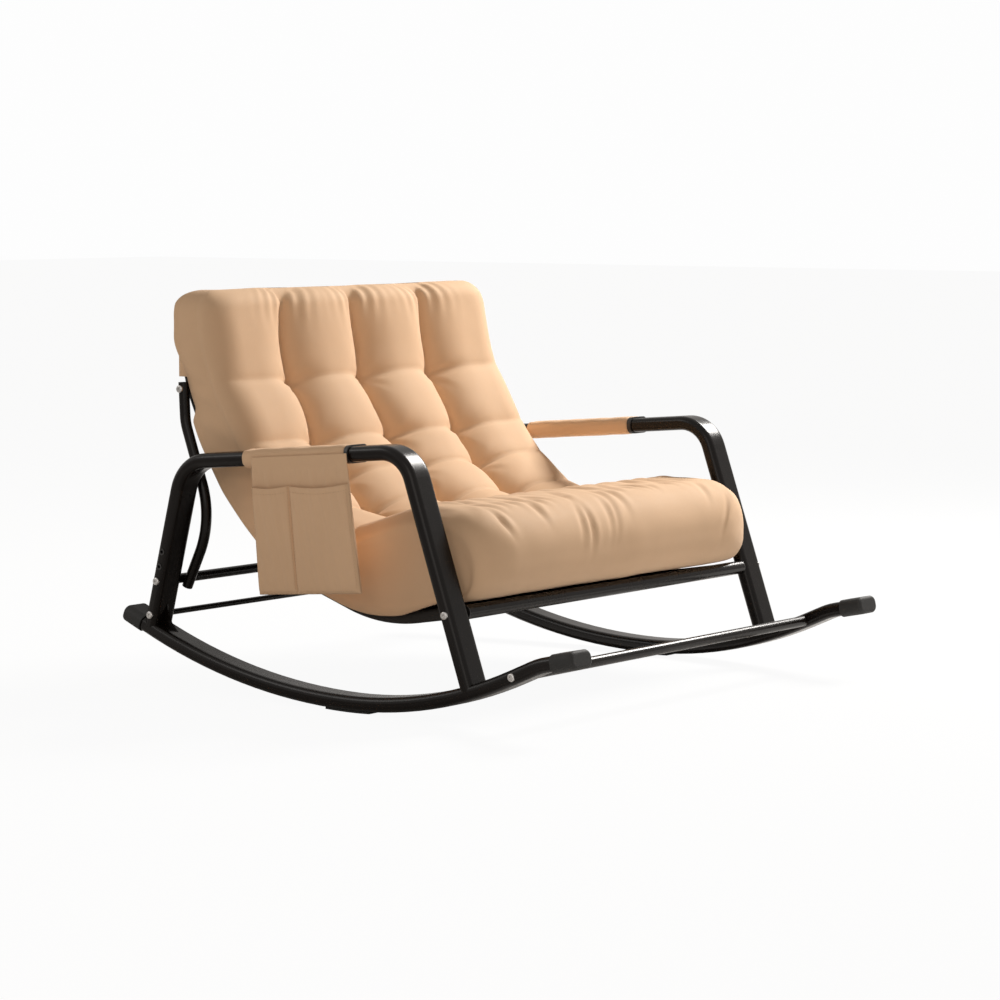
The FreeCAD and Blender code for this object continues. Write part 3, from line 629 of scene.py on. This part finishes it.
class StudioSettings(bpy.types.PropertyGroup):
    """The lens and the lights"""
    lens: FloatProperty(name="Lens", description="Focal length", default=116.06, unit="CAMERA")
    key: watts("Key light", "Power of the key light", 205.0)
    fill: watts("Fill light", "Power of the fill and the rim light, each", 12.0)
    sky: FloatProperty(name="Room light", description="Strength of the room's light", default=0.27)


# The mattress

class Mattress:
    """The mattress as a net of rings, each from the face over a side to the underside."""

    def __init__(self, setting):
        self.setting = setting
        rail = shifted(RAIL, CUSHION_LIFT)
        face = [HEAD_MIDDLE + (0.0,)] + CUSHION_FACE + [FRONT_SEAM + (0.0,)]
        back = (rail[0][0], setting.height, CUSHION_BACK_RADIUS)
        under = [HEAD_MIDDLE + (0.0,), back] + rail[1:-1] + [CUSHION_KNEE, FRONT_SEAM + (0.0,)]
        self.face = Route(rounded(face))
        self.under = Route(rounded(under))
        pairs = [(self.face.nearest(a), self.under.nearest(b)) for a, b in OPPOSITE]
        self.pairs = [(0.0, 0.0)] + pairs + [(self.face.length, self.under.length)]
        self.rows = [self.face.nearest(row) for row in TUFT_ROWS]
        self.crease = self.face.nearest(CREASE)
        self.bolster = self.face.nearest(BOLSTER_TOP)
        self.front = self.face.nearest(BOLSTER_FRONT)
        draw = random.Random(7)
        self.creases = []
        for index in range(setting.wrinkles):
            share = (index + draw.uniform(0.25, 0.75)) / setting.wrinkles
            self.creases.append({
                "x": (share - 0.5) * setting.width * 0.96,
                "s": draw.uniform(self.bolster + 0.03, self.front - 0.03),
                "long": draw.uniform(0.035, 0.075),
                "wide": draw.uniform(0.006, 0.011),
                "lean": draw.uniform(-0.5, 0.15),
                "deep": draw.uniform(0.5, 1.0),
            })
        self.pleats = [draw.uniform(0.0, math.tau) for _ in range(3 * len(self.rows))]

    def opposite(self, distance):
        """The distance along the underside that faces one along the face."""
        for (a, b), (c, d) in zip(self.pairs, self.pairs[1:]):
            if distance <= c:
                return b + (d - b) * (distance - a) / (c - a)
        return self.under.length

    def column(self, x):
        """0 in the middle of a puff and 1 on the seam between two columns."""
        spacing = self.setting.column_spacing
        half = spacing / 2
        if abs(x) > spacing:
            return max(1 - (abs(x) - spacing) / half, 0.0)
        return abs((abs(x) % spacing) - half) / half

    def beside_tufts(self, x):
        """The nearest column of tufts, -1, 0 or 1, and the distance from it."""
        spacing = self.setting.column_spacing
        column = min(max(round(x / spacing), -1), 1)
        return column, x - column * spacing

    def row(self, distance):
        """0 in the middle of a puff and 1 at a row of tufts."""
        marks = [self.rows[0] - 0.150] + self.rows + [self.crease + 0.012]
        if distance <= marks[0] or distance >= marks[-1]:
            return 0.0
        high = next(index for index, mark in enumerate(marks) if distance <= mark)
        share = (distance - marks[high - 1]) / (marks[high] - marks[high - 1]) * 2 - 1
        return max(share, 0.0) if high == 1 else abs(share)

    def sink(self, x, distance):
        """How far the face is drawn in under its envelope."""
        sway = 0.006 * math.sin(distance * 31.0) * math.sin(x * 9.0 + 1.0)
        across = self.column(x + sway)
        along = self.row(distance)
        cusp = 1 - math.sqrt(max(1 - across ** 2.3, 0.0))
        fold = 1 - math.sqrt(max(1 - along ** 2.5, 0.0))
        head = smooth_step(0.0, self.rows[0] * 0.75, distance)
        seat = 1 - smooth_step(self.rows[-1] + 0.05, self.crease + 0.03, distance)
        valley = (VALLEY + VALLEY_AT_HEAD * head) * seat * cusp
        edge = 1 - 0.55 * smooth_step(0.40, 0.46, abs(x))
        groove = (GROOVE + GROOVE_ON_SEAMS * across ** 2.4) * fold * edge
        depth = self.setting.puff * (1 - (1 - valley) * (1 - groove))
        return depth + self.puckers(x, distance) * seat

    def puckers(self, x, distance):
        """Small pleats that run into each tuft."""
        total = 0.0
        column, dx = self.beside_tufts(x)
        for index, mark in enumerate(self.rows):
            ds = distance - mark
            reach = math.hypot(dx, ds)
            if reach > 0.11:
                continue
            angle = math.atan2(ds, dx)
            phase = self.pleats[index * 3 + column + 1]
            ray = math.sin(7 * angle + phase) + 0.6 * math.sin(12 * angle + 2.3 * phase)
            total += 0.0016 * ray * math.exp(-(reach / 0.045) ** 2) * min(reach / 0.018, 1.0)
        return total

    def gathers(self, x, distance):
        """Pleats of the bolster and of the head's edge."""
        total = 0.0
        for fold in self.creases:
            ds = distance - fold["s"]
            if abs(ds) > fold["long"] * 1.6:
                continue
            dx = x - fold["x"] - fold["lean"] * ds
            if abs(dx) < 0.04:
                dip = bump(dx, 0.0, fold["wide"]) - 0.55 * bump(dx, 0.016, 0.011)
                total += self.setting.gather * fold["deep"] * dip * bump(ds, 0.0, fold["long"] * 0.7)
        rise = smooth_step(self.crease - 0.01, self.crease + 0.03, distance)
        fall = 1 - smooth_step(self.bolster - 0.01, self.bolster + 0.08, distance)
        ripple = math.sin(x * 118.0 + 2.2 * math.sin(x * 17.0)) + 0.5 * math.sin(x * 211.0 + 1.0)
        total += 0.0018 * rise * fall * ripple
        if distance < 0.13:
            column, off = self.beside_tufts(x)
            fan = math.sin(abs(off) * 190.0 + 0.8 * column + distance * 16.0)
            total += 0.0026 * fan * bump(off, 0.0, 0.075) * bump(distance, 0.035, 0.05)
        return total

    def lumps(self, spot):
        """The filling's unevenness."""
        large = noise.noise(spot * 7.0)
        small = noise.noise(spot * 19.0 + Vector((3.1, 0.7, 5.3)))
        return 0.0030 * large + 0.0012 * small

    def corner_share(self, forward, height):
        """How much of its full width the mattress has at one place."""
        setting = self.setting
        inset = 0.0
        for radius, place, end in (
            (setting.head_round, height, setting.height),
            (setting.bolster_round, forward, CUSHION_FACE[-1][0]),
        ):
            over = min(max(place - (end - radius), 0.0), radius)
            inset += radius - math.sqrt(radius ** 2 - over ** 2)
        return 1 - inset / (setting.width / 2)

    def ring(self, distance, flat, arc, side):
        """The points round the mattress at one distance from its head."""
        half = self.setting.width / 2
        top, below = self.face.point(distance), self.under.point(self.opposite(distance))
        through = below - top
        thick = through.length
        inward = through / thick if thick > 1e-6 else Vector((0.0, 0.0))
        outward = self.face.normal(distance)
        if outward.dot(inward) > 0:
            outward = -outward
        drop = min(self.setting.side_round, thick / 2)
        stations = [((index / (flat - 1) * 2 - 1) * (half - SIDE_RUN), 0.0) for index in range(flat)]
        for index in range(1, arc + 1):
            angle = math.pi / 2 * index / arc
            stations.append((half - SIDE_RUN + SIDE_RUN * math.sin(angle), 1 - math.cos(angle)))
        points = []
        for x, inset in [(-x, inset) for x, inset in reversed(stations[flat:])] + stations:
            sink = self.sink(x, distance) * (1 - inset * 0.8)
            sink += self.gathers(x, distance) * (1 - inset * 0.5)
            points.append((x, top + inward * (drop * inset) - outward * min(sink, thick * 0.55)))
        bulge = SIDE_BULGE * min(thick / 0.12, 1.0)
        hang, head = self.overhang(below), self.head_swell(below, thick)
        lip = thick - drop + hang - LIP_ROUND * min(thick / 0.05, 1.0)

        def side_wall(way, phase):
            wall = []
            for index in range(1, side):
                share = index / side
                swell = 4 * share * (1 - share)
                fold = self.side_fold(distance + phase, share) * swell
                spot = top + inward * (drop + lip * share)
                wall.append((way * (half + bulge * (swell - 1) * 0.5 + fold), spot))
            return wall

        lower = [(x * half / LIP_FULL, reach * hang + (1 - reach) * head) for x, reach in LIP]
        lower += [(x, head) for x in UNDERSIDE]
        lower += [(-x, reach) for x, reach in reversed(lower[:-1])]
        points += side_wall(1, 0.0)
        points += [(x, below + inward * reach) for x, reach in lower]
        points += reversed(side_wall(-1, 0.37))
        return [at(x * self.corner_share(*spot), *spot) for x, spot in points]

    def overhang(self, below):
        """How far the sides hang down over the rails, but for the room round the hinges."""
        forward, height = below
        beside_hood = smooth_step(0.632, 0.720, height)
        below_hinge = 1 - smooth_step(0.545, 0.578, height)
        front = 1 - smooth_step(0.10, 0.22, forward)
        under = HANG_ALONG_SEAT + HANG_MORE_BEHIND * smooth_step(0.30, 0.42, height)
        at_hinge = (1 - beside_hood) * (1 - below_hinge)
        return HANG_BESIDE_HOOD * beside_hood + under * below_hinge * front - HINGE_ROOM * at_hinge

    def head_swell(self, below, thick):
        """How far the head bulges back over the hood."""
        return HEAD_SWELL * smooth_step(0.770, 0.784, below[1]) * min(thick / 0.05, 1.0)

    def side_fold(self, distance, share):
        """Wrinkles of the side panel under the seat's crease."""
        near = bump(distance, self.crease + 0.02, 0.16)
        slant = distance * 120.0 + share * 3.0
        wave = math.sin(slant + 1.8 * math.sin(distance * 23.0))
        return 0.0022 * near * wave - 0.002 * near

    def net(self, step=0.006, flat=141, arc=9, side=12):
        """The mattress's points and faces, a ring at each step along its face."""
        count = int(self.face.length / step)
        rings = []
        for index in range(count + 1):
            rings.append(self.ring(self.face.length * index / count, flat, arc, side))
        points = [spot for ring in rings for spot in ring]
        centre = Vector((0.0, 0.10, 0.45))
        points = [spot + (spot - centre).normalized() * self.lumps(spot) for spot in points]
        return points, net_faces(len(rings), len(rings[0]), closed=True)


class CHAIR_OT_cushion(bpy.types.Operator):
    """Makes the tufted mattress"""
    bl_idname = "chair.cushion"
    bl_label = "Cushion"

    def execute(self, context):
        piece = cover("cushion", *Mattress(context.scene.chair_cushion).net(), "seat", weld=0.0002)
        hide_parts("seat_cushion")
        return {"FINISHED"}


# Covers on the arms

def on_arm(distance, lift):
    """A point of the arm, from the pad's rear end along it and square to it."""
    way = unit(ARM_FRONT[0] - ARM_REAR[0], ARM_FRONT[1] - ARM_REAR[1])
    along = (PAD_REAR - ARM_REAR[0]) / way[0] + distance
    return ARM_REAR[0] + way[0] * along - way[1] * lift, ARM_REAR[1] + way[1] * along + way[0] * lift


def oval(width, depth, corner, turns):
    """Points round a rounded rectangle, from the middle of its lower side."""
    low = Vector((0.0, -depth / 2))
    outline = [low]
    for quarter, (right, up) in enumerate(((1, -1), (1, 1), (-1, 1), (-1, -1))):
        centre = Vector((right * (width / 2 - corner), up * (depth / 2 - corner)))
        for index in range(9):
            angle = math.pi / 2 * (quarter - 1 + index / 8)
            outline.append(centre + corner * Vector((math.cos(angle), math.sin(angle))))
    route = Route(outline + [low])
    return [route.point(route.length * index / turns) for index in range(turns)]


def pad_sleeve(side, start, length, setting):
    """The padded sleeve round one arm, with its drawn in ends."""
    turns, rings = 72, 100
    grow = setting.pad_thickness
    full = oval(TUBE_WIDTH + 2 * grow, TUBE_DEPTH + 2 * grow, TUBE_CORNER + grow, turns)
    tight = oval(TUBE_WIDTH + 0.001, TUBE_DEPTH + 0.001, TUBE_CORNER + 0.0005, turns)
    points = []
    for ring in range(rings + 1):
        distance = ring / rings * length
        end = min(distance, length - distance)
        swell = math.sqrt(max(1 - max(1 - end / 0.010, 0.0) ** 2, 0.0))
        for index in range(turns):
            spot = tight[index].lerp(full[index], swell)
            angle = math.tau * index / turns
            pleat = math.sin(angle * 9 + side) * math.exp(-end / 0.012) * 0.0007
            drape = 0.0009 * noise.noise(Vector((distance * 26, angle * 1.7, 4.0 * side)))
            crease = 0.0008 * math.sin(distance * 95 + 2.5 * math.sin(angle * 2))
            crease *= max(-math.cos(angle), 0.0)
            spot = spot * (1 - (0.0016 - drape - crease + pleat) * swell / spot.length)
            points.append(at(ARM_X * side + spot[0], *on_arm(start + distance, spot[1])))
    return points, net_faces(rings + 1, turns, closed=True)


class CHAIR_OT_arm_pads(bpy.types.Operator):
    """Makes the padded sleeves on both arms"""
    bl_idname = "chair.arm_pads"
    bl_label = "Arm pads"

    def execute(self, context):
        setting = context.scene.chair_covers
        for side, word, start, length in (
            (-1, "right", 0.0, setting.pad_length),
            (1, "left", setting.left_shift, setting.left_length),
        ):
            piece = cover("arm_sleeve_" + word, *pad_sleeve(side, start, length, setting), "base")
            thicken(piece, setting.cloth, offset=-1.0)
            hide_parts("arm_pad_" + word)
        return {"FINISHED"}


class Pocket:
    """The pocket that hangs on the sitter's right, with one narrow and one wide compartment."""

    def __init__(self, setting):
        self.setting = setting
        self.back = -(ARM_X + TUBE_WIDTH / 2 + setting.pad_thickness)
        self.start, self.end = 0.030, setting.pad_length + 0.010
        self.pad_edge = -(TUBE_DEPTH / 2 + setting.pad_thickness)
        self.mouth = self.pad_edge - setting.pocket_hem
        self.bottom = self.pad_edge - setting.pocket_drop

    def place(self, across, lift, outward):
        """A point at one share of the pocket's length."""
        drop = (self.pad_edge - lift) / self.setting.pocket_drop
        end = self.end + POCKET_FLARE * max(drop, 0.0)
        return at(self.back - outward, *on_arm(self.start + (end - self.start) * across, lift))

    def hang(self, across, lift):
        """The cloth's small standing folds below the pad."""
        drop = (self.pad_edge - lift) / self.setting.pocket_drop
        fade = smooth_step(-0.02, 0.04, drop) * (1 - 0.55 * smooth_step(0.1, 0.6, drop))
        wave = math.sin(across * 74 + 2 * math.sin(across * 9)) * 0.5 + math.sin(across * 41 + 1.3)
        return 0.0007 * fade * wave

    def back_sheet(self, columns=120, rows=110):
        """The back cloth, from the side of the pad down."""
        top = TUBE_DEPTH / 2 - TUBE_CORNER
        points = []
        for row in range(rows + 1):
            lift = top + (self.bottom - top) * row / rows
            for column in range(columns + 1):
                across = column / columns
                points.append(self.place(across, lift, 0.0012 + self.hang(across, lift)))
        return points, net_faces(rows + 1, columns + 1)

    def compartment(self, across):
        """Where a place lies in its compartment, that one's share of the pocket, and its sag."""
        if across < DIVIDER:
            return across / DIVIDER, DIVIDER, NARROW_SAG
        return (across - DIVIDER) / (1 - DIVIDER), 1 - DIVIDER, WIDE_SAG

    def front_out(self, across, down):
        """How far the front cloth stands off the back cloth."""
        depth = self.setting.pocket_depth - 0.003
        local, length, _ = self.compartment(across)
        wall = 1 - math.exp(-min(local, 1 - local) * length / 0.011)
        floor = 1 - math.exp(-(1 - down) / 0.028)
        belly = 0.66 + 0.34 * math.sin(math.pi * min(down + 0.25, 1.0)) * math.sin(math.pi * local)
        wave = 0.0008 * math.sin(across * 29 + down * 4.0) * (1 - down)
        tilt = 0.0007 * math.sin(across * 61 - down * 7 + 1.0)
        return 0.0024 + depth * wall * floor * belly + (wave + tilt) * wall

    def on_front(self, across, down, sagging=True, above=0.0):
        """A point of the front cloth, or one above it."""
        lift = self.mouth + (self.bottom - self.mouth) * down
        if sagging:
            local, _, sag = self.compartment(across)
            lift -= sag * math.sin(math.pi * local) * (1 - down)
        return self.place(across, lift, self.front_out(across, down) + above)

    def front_sheet(self, columns=170, rows=100):
        """The front cloth of both compartments."""
        points = []
        for row in range(rows + 1):
            for column in range(columns + 1):
                points.append(self.on_front(column / columns, row / rows))
        return points, net_faces(rows + 1, columns + 1)

    def seam(self, across, last, count=60):
        """A seam from the mouth down, as points with normals."""
        line = []
        for index in range(count + 1):
            spot = self.on_front(across, last * index / count, sagging=False, above=0.0011)
            line.append((spot, Vector((-1.0, 0.0, 0.0))))
        return line

    def hem(self, down, first, last, count=80):
        """A seam along a hem, as points with normals."""
        line = []
        for index in range(count + 1):
            spot = self.on_front(first + (last - first) * index / count, down, above=0.0010)
            line.append((spot, Vector((-1.0, 0.0, 0.0))))
        return line


class CHAIR_OT_pocket(bpy.types.Operator):
    """Makes the side pocket, its hems and its stitching"""
    bl_idname = "chair.pocket"
    bl_label = "Pocket"

    def execute(self, context):
        setting = context.scene.chair_covers
        pocket = Pocket(setting)
        back = cover("pocket_back_cloth", *pocket.back_sheet(), "base")
        thicken(back, setting.cloth)
        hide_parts("pocket_back_panel")
        front = cover("pocket_front_cloth", *pocket.front_sheet(), "base")
        thicken(front, setting.cloth)
        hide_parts("pocket_front_panel")
        seams = [
            pocket.hem(0.055, HEM_INSET, DIVIDER - HEM_INSET),
            pocket.hem(0.055, DIVIDER + HEM_INSET, 1 - HEM_INSET),
            pocket.seam(DIVIDER - SEAM_INSET, 0.97),
            pocket.seam(DIVIDER + SEAM_INSET, 0.97),
            pocket.seam(0.018, 0.98),
            pocket.seam(0.982, 0.98),
            pocket.hem(0.975, HEM_INSET, 1 - HEM_INSET),
        ]
        thread = once("sewing_thread", make_thread)
        sewn = stitches("pocket_stitching", seams, thread, "base")
        return {"FINISHED"}


# The hood and the sling

class CHAIR_OT_hood(bpy.types.Operator):
    """Makes the cloth hood that hooks the mattress over the top rail"""
    bl_idname = "chair.hood"
    bl_label = "Hood"

    def execute(self, context):
        setting = context.scene.chair_covers
        reach = CUSHION_LIFT + setting.cloth
        behind, front = RAIL[0][0] - reach, RAIL[0][0] + CUSHION_LIFT - 0.0004
        above = RAIL[0][1] + HOOD_RISE
        half = RAIL_X + reach
        rows, over, columns = 46, 12, 150
        points = []
        for row in range(rows + over + 1):
            if row <= rows:
                share = row / rows
                height = setting.hood_bottom + (above - HOOD_BEND - setting.hood_bottom) * share
                back = behind
            else:
                angle = math.pi / 2 * (row - rows) / over
                height = above - HOOD_BEND + HOOD_BEND * math.sin(angle)
                back = behind + (front - behind) * (1 - math.cos(angle))
            low = 1 - smooth_step(0.0, 0.25, min(row / rows, 1.0))
            sides = ((-half, 0.0), (-half, back - front), (half, back - front), (half, 0.0))
            route = Route([Vector(corner) for corner in sides])
            for column in range(columns + 1):
                distance = route.length * column / columns
                ripple = 0.0007 * math.sin(distance * 150) * low
                wave = 0.0008 * noise.noise(Vector((distance * 6, height * 9, 2.0)))
                inner = route.point(distance) * (1 - (0.0008 + ripple + wave) / half)
                points.append(at(inner[0], front + inner[1] * (1 - 0.02 * low), height))
        piece = cover("hood", points, net_faces(rows + over + 1, columns + 1), "seat", weld=0.0002)
        thicken(piece, setting.cloth)
        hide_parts("cushion_hood")
        tall = above - setting.hood_bottom
        2 * half + 2 * (front - behind)
        tall + front - behind
        return {"FINISHED"}


class CHAIR_OT_sling(bpy.types.Operator):
    """Makes the sling cloth with a sleeve round each rail"""
    bl_idname = "chair.sling"
    bl_label = "Sling"

    def execute(self, context):
        setting = context.scene.chair_covers
        rail = Route(rounded(RAIL))
        first, last = SLING_TOP_END, rail.length - SLING_FRONT_END
        sleeve = RAIL_RADIUS + 0.0008
        lift = sleeve * 0.72
        start = math.asin(lift / sleeve)
        rings, turns, middle = 190, 20, 40
        points = []
        for ring in range(rings + 1):
            distance = first + (last - first) * ring / rings
            centre = rail.point(distance)
            up = rail.normal(distance)
            section = []
            for index in range(turns + 1):
                angle = start + 0.12 - (math.tau - 0.02) * (1 - index / turns)
                section.append((-RAIL_X + sleeve * math.cos(angle), sleeve * math.sin(angle)))
            inner = RAIL_X - sleeve * math.cos(start)
            for index in range(1, middle):
                share = index / middle * 2 - 1
                section.append((share * inner, lift - SLING_SAG * (1 - share * share)))
            section += [(-x, z) for x, z in reversed(section[:turns + 1])]
            points += [at(x, *(centre + up * rise)) for x, rise in section]
        cloth = once("sling_weave", make_sling_cloth)
        columns = 2 * (turns + 1) + middle - 1
        piece = make_piece("sling", points, net_faces(rings + 1, columns), cloth, "seat")
        thicken(piece, setting.cloth * 0.8)
        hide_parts("sling_cloth")
        return {"FINISHED"}


# The finishes of the frame, by the slot that each goes in.
NODE_FINISHES = {
    "frame_paint": ("satin_lacquer", make_frame_paint),
    "black_rubber": ("moulded_rubber", make_rubber),
    "black_plastic": ("grained_plastic", make_plastic),
    "bolt_steel": ("turned_steel", make_bolt_steel),
}


class CHAIR_OT_frame(bpy.types.Operator):
    """Gives every hard piece of the frame its finish"""
    bl_idname = "chair.frame"
    bl_label = "Frame"

    def execute(self, context):
        for part in frame["record"]["subparts"]:
            slot = part["material_slot"]
            if slot not in NODE_FINISHES:
                continue
            finish = once(*NODE_FINISHES[slot])
            piece = frame["nodes"][part["node"]]
            if not piece.material_slots:
                piece.data.materials.append(finish)
            for place in piece.material_slots:
                place.material = finish
        return {"FINISHED"}


# The studio

class CHAIR_OT_studio(bpy.types.Operator):
    """Sets up the floor, the lights, the room light and the camera"""
    bl_idname = "chair.studio"
    bl_label = "Studio"

    def execute(self, context):
        setting = context.scene.chair_studio
        self.make_floor()
        self.make_room(setting.sky)
        for name, place, width, tone in LAMPS:
            lamp = bpy.data.lights.new(name, "AREA")
            lamp.size = width
            lamp.energy = setting.key if name == "key" else setting.fill
            lamp.color = tone
            self.stand(name, lamp, Vector(place), LIT_SPOT - Vector(place))
        camera = bpy.data.cameras.new("camera")
        camera.lens = setting.lens
        camera.sensor_width = 36.0
        camera.clip_end = 2 * FLOOR_REACH
        context.scene.camera = self.stand("camera", camera, Vector(CAMERA_PLACE), Vector(CAMERA_WAY))
        context.scene.view_settings.view_transform = "Standard"
        return {"FINISHED"}

    def stand(self, name, data, place, way):
        """An object that looks one way from its place."""
        holder = bpy.data.objects.new(name, data)
        holder.location = place
        holder.rotation_mode = "QUATERNION"
        holder.rotation_quaternion = way.to_track_quat("-Z", "Y")
        bpy.context.scene.collection.objects.link(holder)
        return holder

    def make_floor(self):
        """A pale floor that keeps the shadows."""
        mesh = bpy.data.meshes.new("floor")
        corners = ((-1, -1), (1, -1), (1, 1), (-1, 1))
        mesh.from_pydata([(x * FLOOR_REACH, y * FLOOR_REACH, 0) for x, y in corners], [], [(0, 1, 2, 3)])
        floor = Finish("pale_floor")
        tone = floor.blend((0.86, 0.855, 0.85, 1), (0.90, 0.895, 0.89, 1), floor.grain(3.0))
        floor.finish({"Base Color": tone, "Roughness": 0.85, "Specular IOR Level": 0.1})
        surface = floor.read("ShaderNodeMixShader", 0, None, {
            0: floor.ray("Camera") * FLOOR_GLOW,
            1: Field(floor, floor.shader.outputs[0]),
            2: floor.read("ShaderNodeEmission", 0, None, {"Color": (1, 1, 1, 1), "Strength": 1.0}),
        })
        floor.feed(floor.nodes["Material Output"], {"Surface": surface})
        mesh.materials.append(floor.material)
        piece = bpy.data.objects.new("floor", mesh)
        bpy.context.scene.collection.objects.link(piece)

    def make_room(self, light):
        """Soft light from all round, white to the camera and in gloss."""
        world = bpy.data.worlds.new("room")
        room = Tree(world)
        white = room.ray("Camera") + room.ray("Transmission") + ROOM_IN_GLOSS * room.ray("Glossy")
        room.feed(room.nodes["Background"], {
            "Strength": room.read("ShaderNodeMix", 0, None, {0: white, 2: light, 3: 1.0}),
            "Color": room.blend((1.0, 0.90, 0.80, 1.0), (0.985, 0.985, 0.985, 1.0), white),
        })
        bpy.context.scene.world = world


class CHAIR_PT_panel(bpy.types.Panel):
    """Lists the chair's pieces"""
    bl_idname = "CHAIR_PT_panel"
    bl_label = "Rocking lounge chair"
    bl_space_type = "VIEW_3D"
    bl_region_type = "UI"
    bl_category = "Chair"

    def draw(self, context):
        for operator in OPERATORS:
            self.layout.operator(operator.bl_idname)
        for name in SETTINGS:
            group = getattr(context.scene, name)
            box = self.layout.box()
            for prop in group.bl_rna.properties.keys():
                if prop not in ("rna_type", "name"):
                    box.prop(group, prop)


SETTINGS = {
    "chair_cushion": CushionSettings,
    "chair_covers": CoverSettings,
    "chair_finish": FinishSettings,
    "chair_studio": StudioSettings,
}
OPERATORS = [
    CHAIR_OT_frame,
    CHAIR_OT_cushion,
    CHAIR_OT_arm_pads,
    CHAIR_OT_pocket,
    CHAIR_OT_hood,
    CHAIR_OT_sling,
    CHAIR_OT_studio,
]


def register():
    for name, group in SETTINGS.items():
        bpy.utils.register_class(group)
        setattr(bpy.types.Scene, name, PointerProperty(type=group))
    for kind in OPERATORS + [CHAIR_PT_panel]:
        bpy.utils.register_class(kind)


def unregister():
    for kind in reversed(OPERATORS + [CHAIR_PT_panel]):
        bpy.utils.unregister_class(kind)
    for name, group in SETTINGS.items():
        delattr(bpy.types.Scene, name)
        bpy.utils.unregister_class(group)


def main():
    register()
    bpy.ops.chair.frame()
    bpy.ops.chair.cushion()
    bpy.ops.chair.arm_pads()
    bpy.ops.chair.pocket()
    bpy.ops.chair.hood()
    bpy.ops.chair.sling()
    bpy.ops.chair.studio()


if __name__ == "__main__":
    main()
